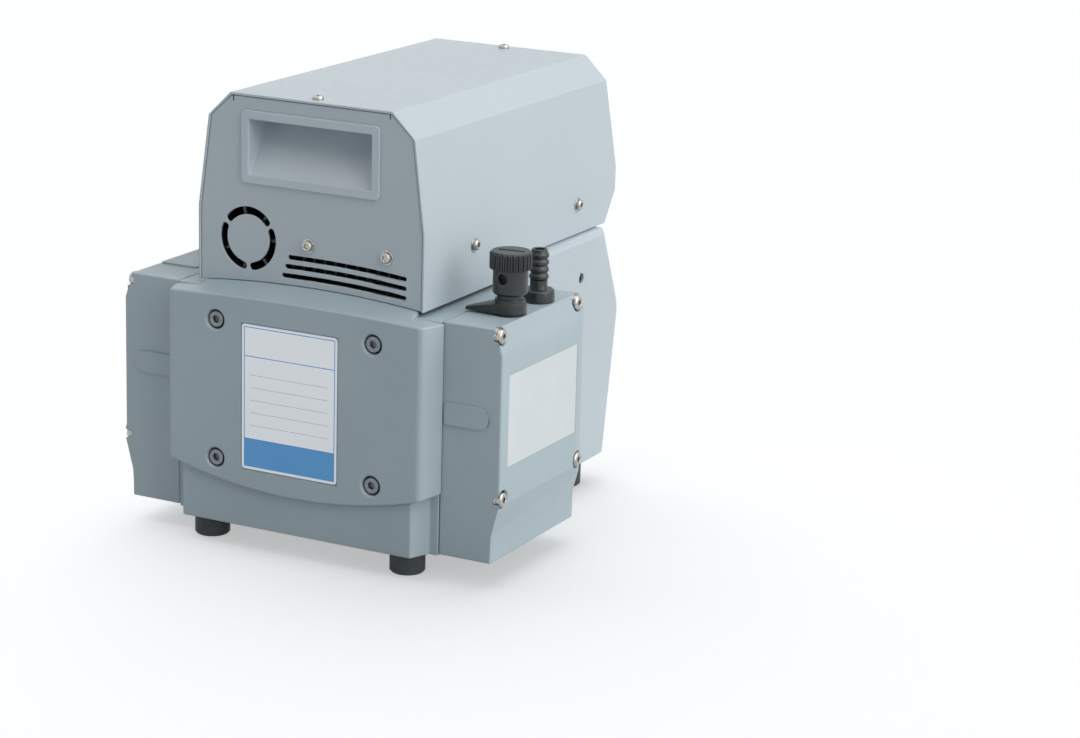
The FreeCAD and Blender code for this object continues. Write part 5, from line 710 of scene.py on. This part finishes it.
nozzle("inlet_hose_nozzle", "inlet_nozzle", 1, 0.0)
nozzle("outlet_hose_nozzle", "outlet_nozzle", -1, 0.001)

# The stage is a white sweep that keeps a soft shadow under the pump, with large soft lamps from the right
# and above. A third lamp lights the sweep alone. The camera stands at the photograph's place.


def seen_through(tree):
    """One where a ray comes from the camera, a mirror or a glass, and otherwise zero."""
    path = tree.nodes.new("ShaderNodeLightPath")
    total = path.outputs["Is Camera Ray"]
    for name in ("Is Glossy Ray", "Is Transmission Ray"):
        total = combined(tree, "MAXIMUM", total, path.outputs[name])
    return total


FLOOR_REACH = 6.0
FLOOR_GLOW = 0.45
floor_maker = bmesh.new()
bmesh.ops.create_grid(floor_maker, x_segments=1, y_segments=1, size=FLOOR_REACH)
floor_paint = surface("white_sweep", (0.90, 0.90, 0.90), 0.9)
floor_tree = floor_paint.node_tree
shader_of(floor_paint).inputs["Specular IOR Level"].default_value = 0.0
glow = floor_tree.nodes.new("ShaderNodeEmission")
both = floor_tree.nodes.new("ShaderNodeAddShader")
strength = combined(floor_tree, "MULTIPLY", seen_through(floor_tree), FLOOR_GLOW)
floor_tree.links.new(strength, glow.inputs["Strength"])
floor_tree.links.new(shader_of(floor_paint).outputs["BSDF"], both.inputs[0])
floor_tree.links.new(glow.outputs["Emission"], both.inputs[1])
floor_tree.links.new(both.outputs["Shader"], floor_tree.nodes["Material Output"].inputs["Surface"])
floor = piece_from("studio_floor", floor_maker, floor_paint)

AMBIENT = (0.89, 0.95, 1.0)
AMBIENT_LEVEL = 0.235
world = bpy.data.worlds.new("studio")
bpy.context.scene.world = world
world.use_nodes = True
world_tree = world.node_tree
sky = world_tree.nodes["Background"]
sky.inputs["Color"].default_value = (*AMBIENT, 1)
sky.inputs["Strength"].default_value = AMBIENT_LEVEL
white = world_tree.nodes.new("ShaderNodeBackground")
white.inputs["Color"].default_value = (1, 1, 1, 1)
chooser = world_tree.nodes.new("ShaderNodeMixShader")
world_tree.links.new(seen_through(world_tree), chooser.inputs["Fac"])
world_tree.links.new(sky.outputs["Background"], chooser.inputs[1])
world_tree.links.new(white.outputs["Background"], chooser.inputs[2])
world_tree.links.new(chooser.outputs["Shader"], world_tree.nodes["World Output"].inputs["Surface"])

WARM_WHITE = (1.0, 0.985, 0.96)


def sun(name, towards, level, spread_angle, colour=(1, 1, 1), meets=None, passes=None):
    """A soft lamp whose level is what a white surface square to it adds.

    It can meet one piece only, or pass that piece by.
    """
    lamp = bpy.data.lights.new(name, "SUN")
    lamp.energy = level * math.pi
    lamp.angle = math.radians(spread_angle)
    lamp.color = colour
    holder = bpy.data.objects.new(name, lamp)
    holder.rotation_euler = Vector(towards).to_track_quat("Z", "Y").to_euler()
    bpy.context.collection.objects.link(holder)
    if meets or passes:
        linked = bpy.data.collections.new(name + "_receivers")
        linked.objects.link(meets or passes)
        holder.light_linking.receiver_collection = linked
        linked.collection_objects[0].light_linking.link_state = "INCLUDE" if meets else "EXCLUDE"


sun("soft_key", (0.80, -0.02, 0.50), 0.70, 65, WARM_WHITE, passes=floor)
sun("soft_top", (-0.10, 0.05, 1.0), 0.36, 90, WARM_WHITE, passes=floor)
sun("floor_light", (-0.45, 0.40, 1.0), 0.45, 75, meets=floor)

EYE = Vector((0.848756, -1.491960, 0.550056))
RIGHT = Vector((0.88727049, 0.46044761, 0.02718603))
UP = Vector((-0.14421075, 0.22093981, 0.96456667))
BACK = Vector((0.43812594, -0.85975206, 0.26243487))
SENSOR = 36.0
FOCAL_PIXELS = 3037.666
IMAGE_WIDTH = 1080
lens = bpy.data.cameras.new("view")
lens.sensor_width = SENSOR
lens.sensor_fit = "HORIZONTAL"
lens.lens = FOCAL_PIXELS * SENSOR / IMAGE_WIDTH
camera = bpy.data.objects.new("view", lens)
camera.matrix_world = Matrix((RIGHT, UP, BACK)).transposed().to_4x4()
camera.location = EYE
bpy.context.collection.objects.link(camera)
bpy.context.scene.camera = camera
bpy.context.scene.view_settings.view_transform = "Standard"
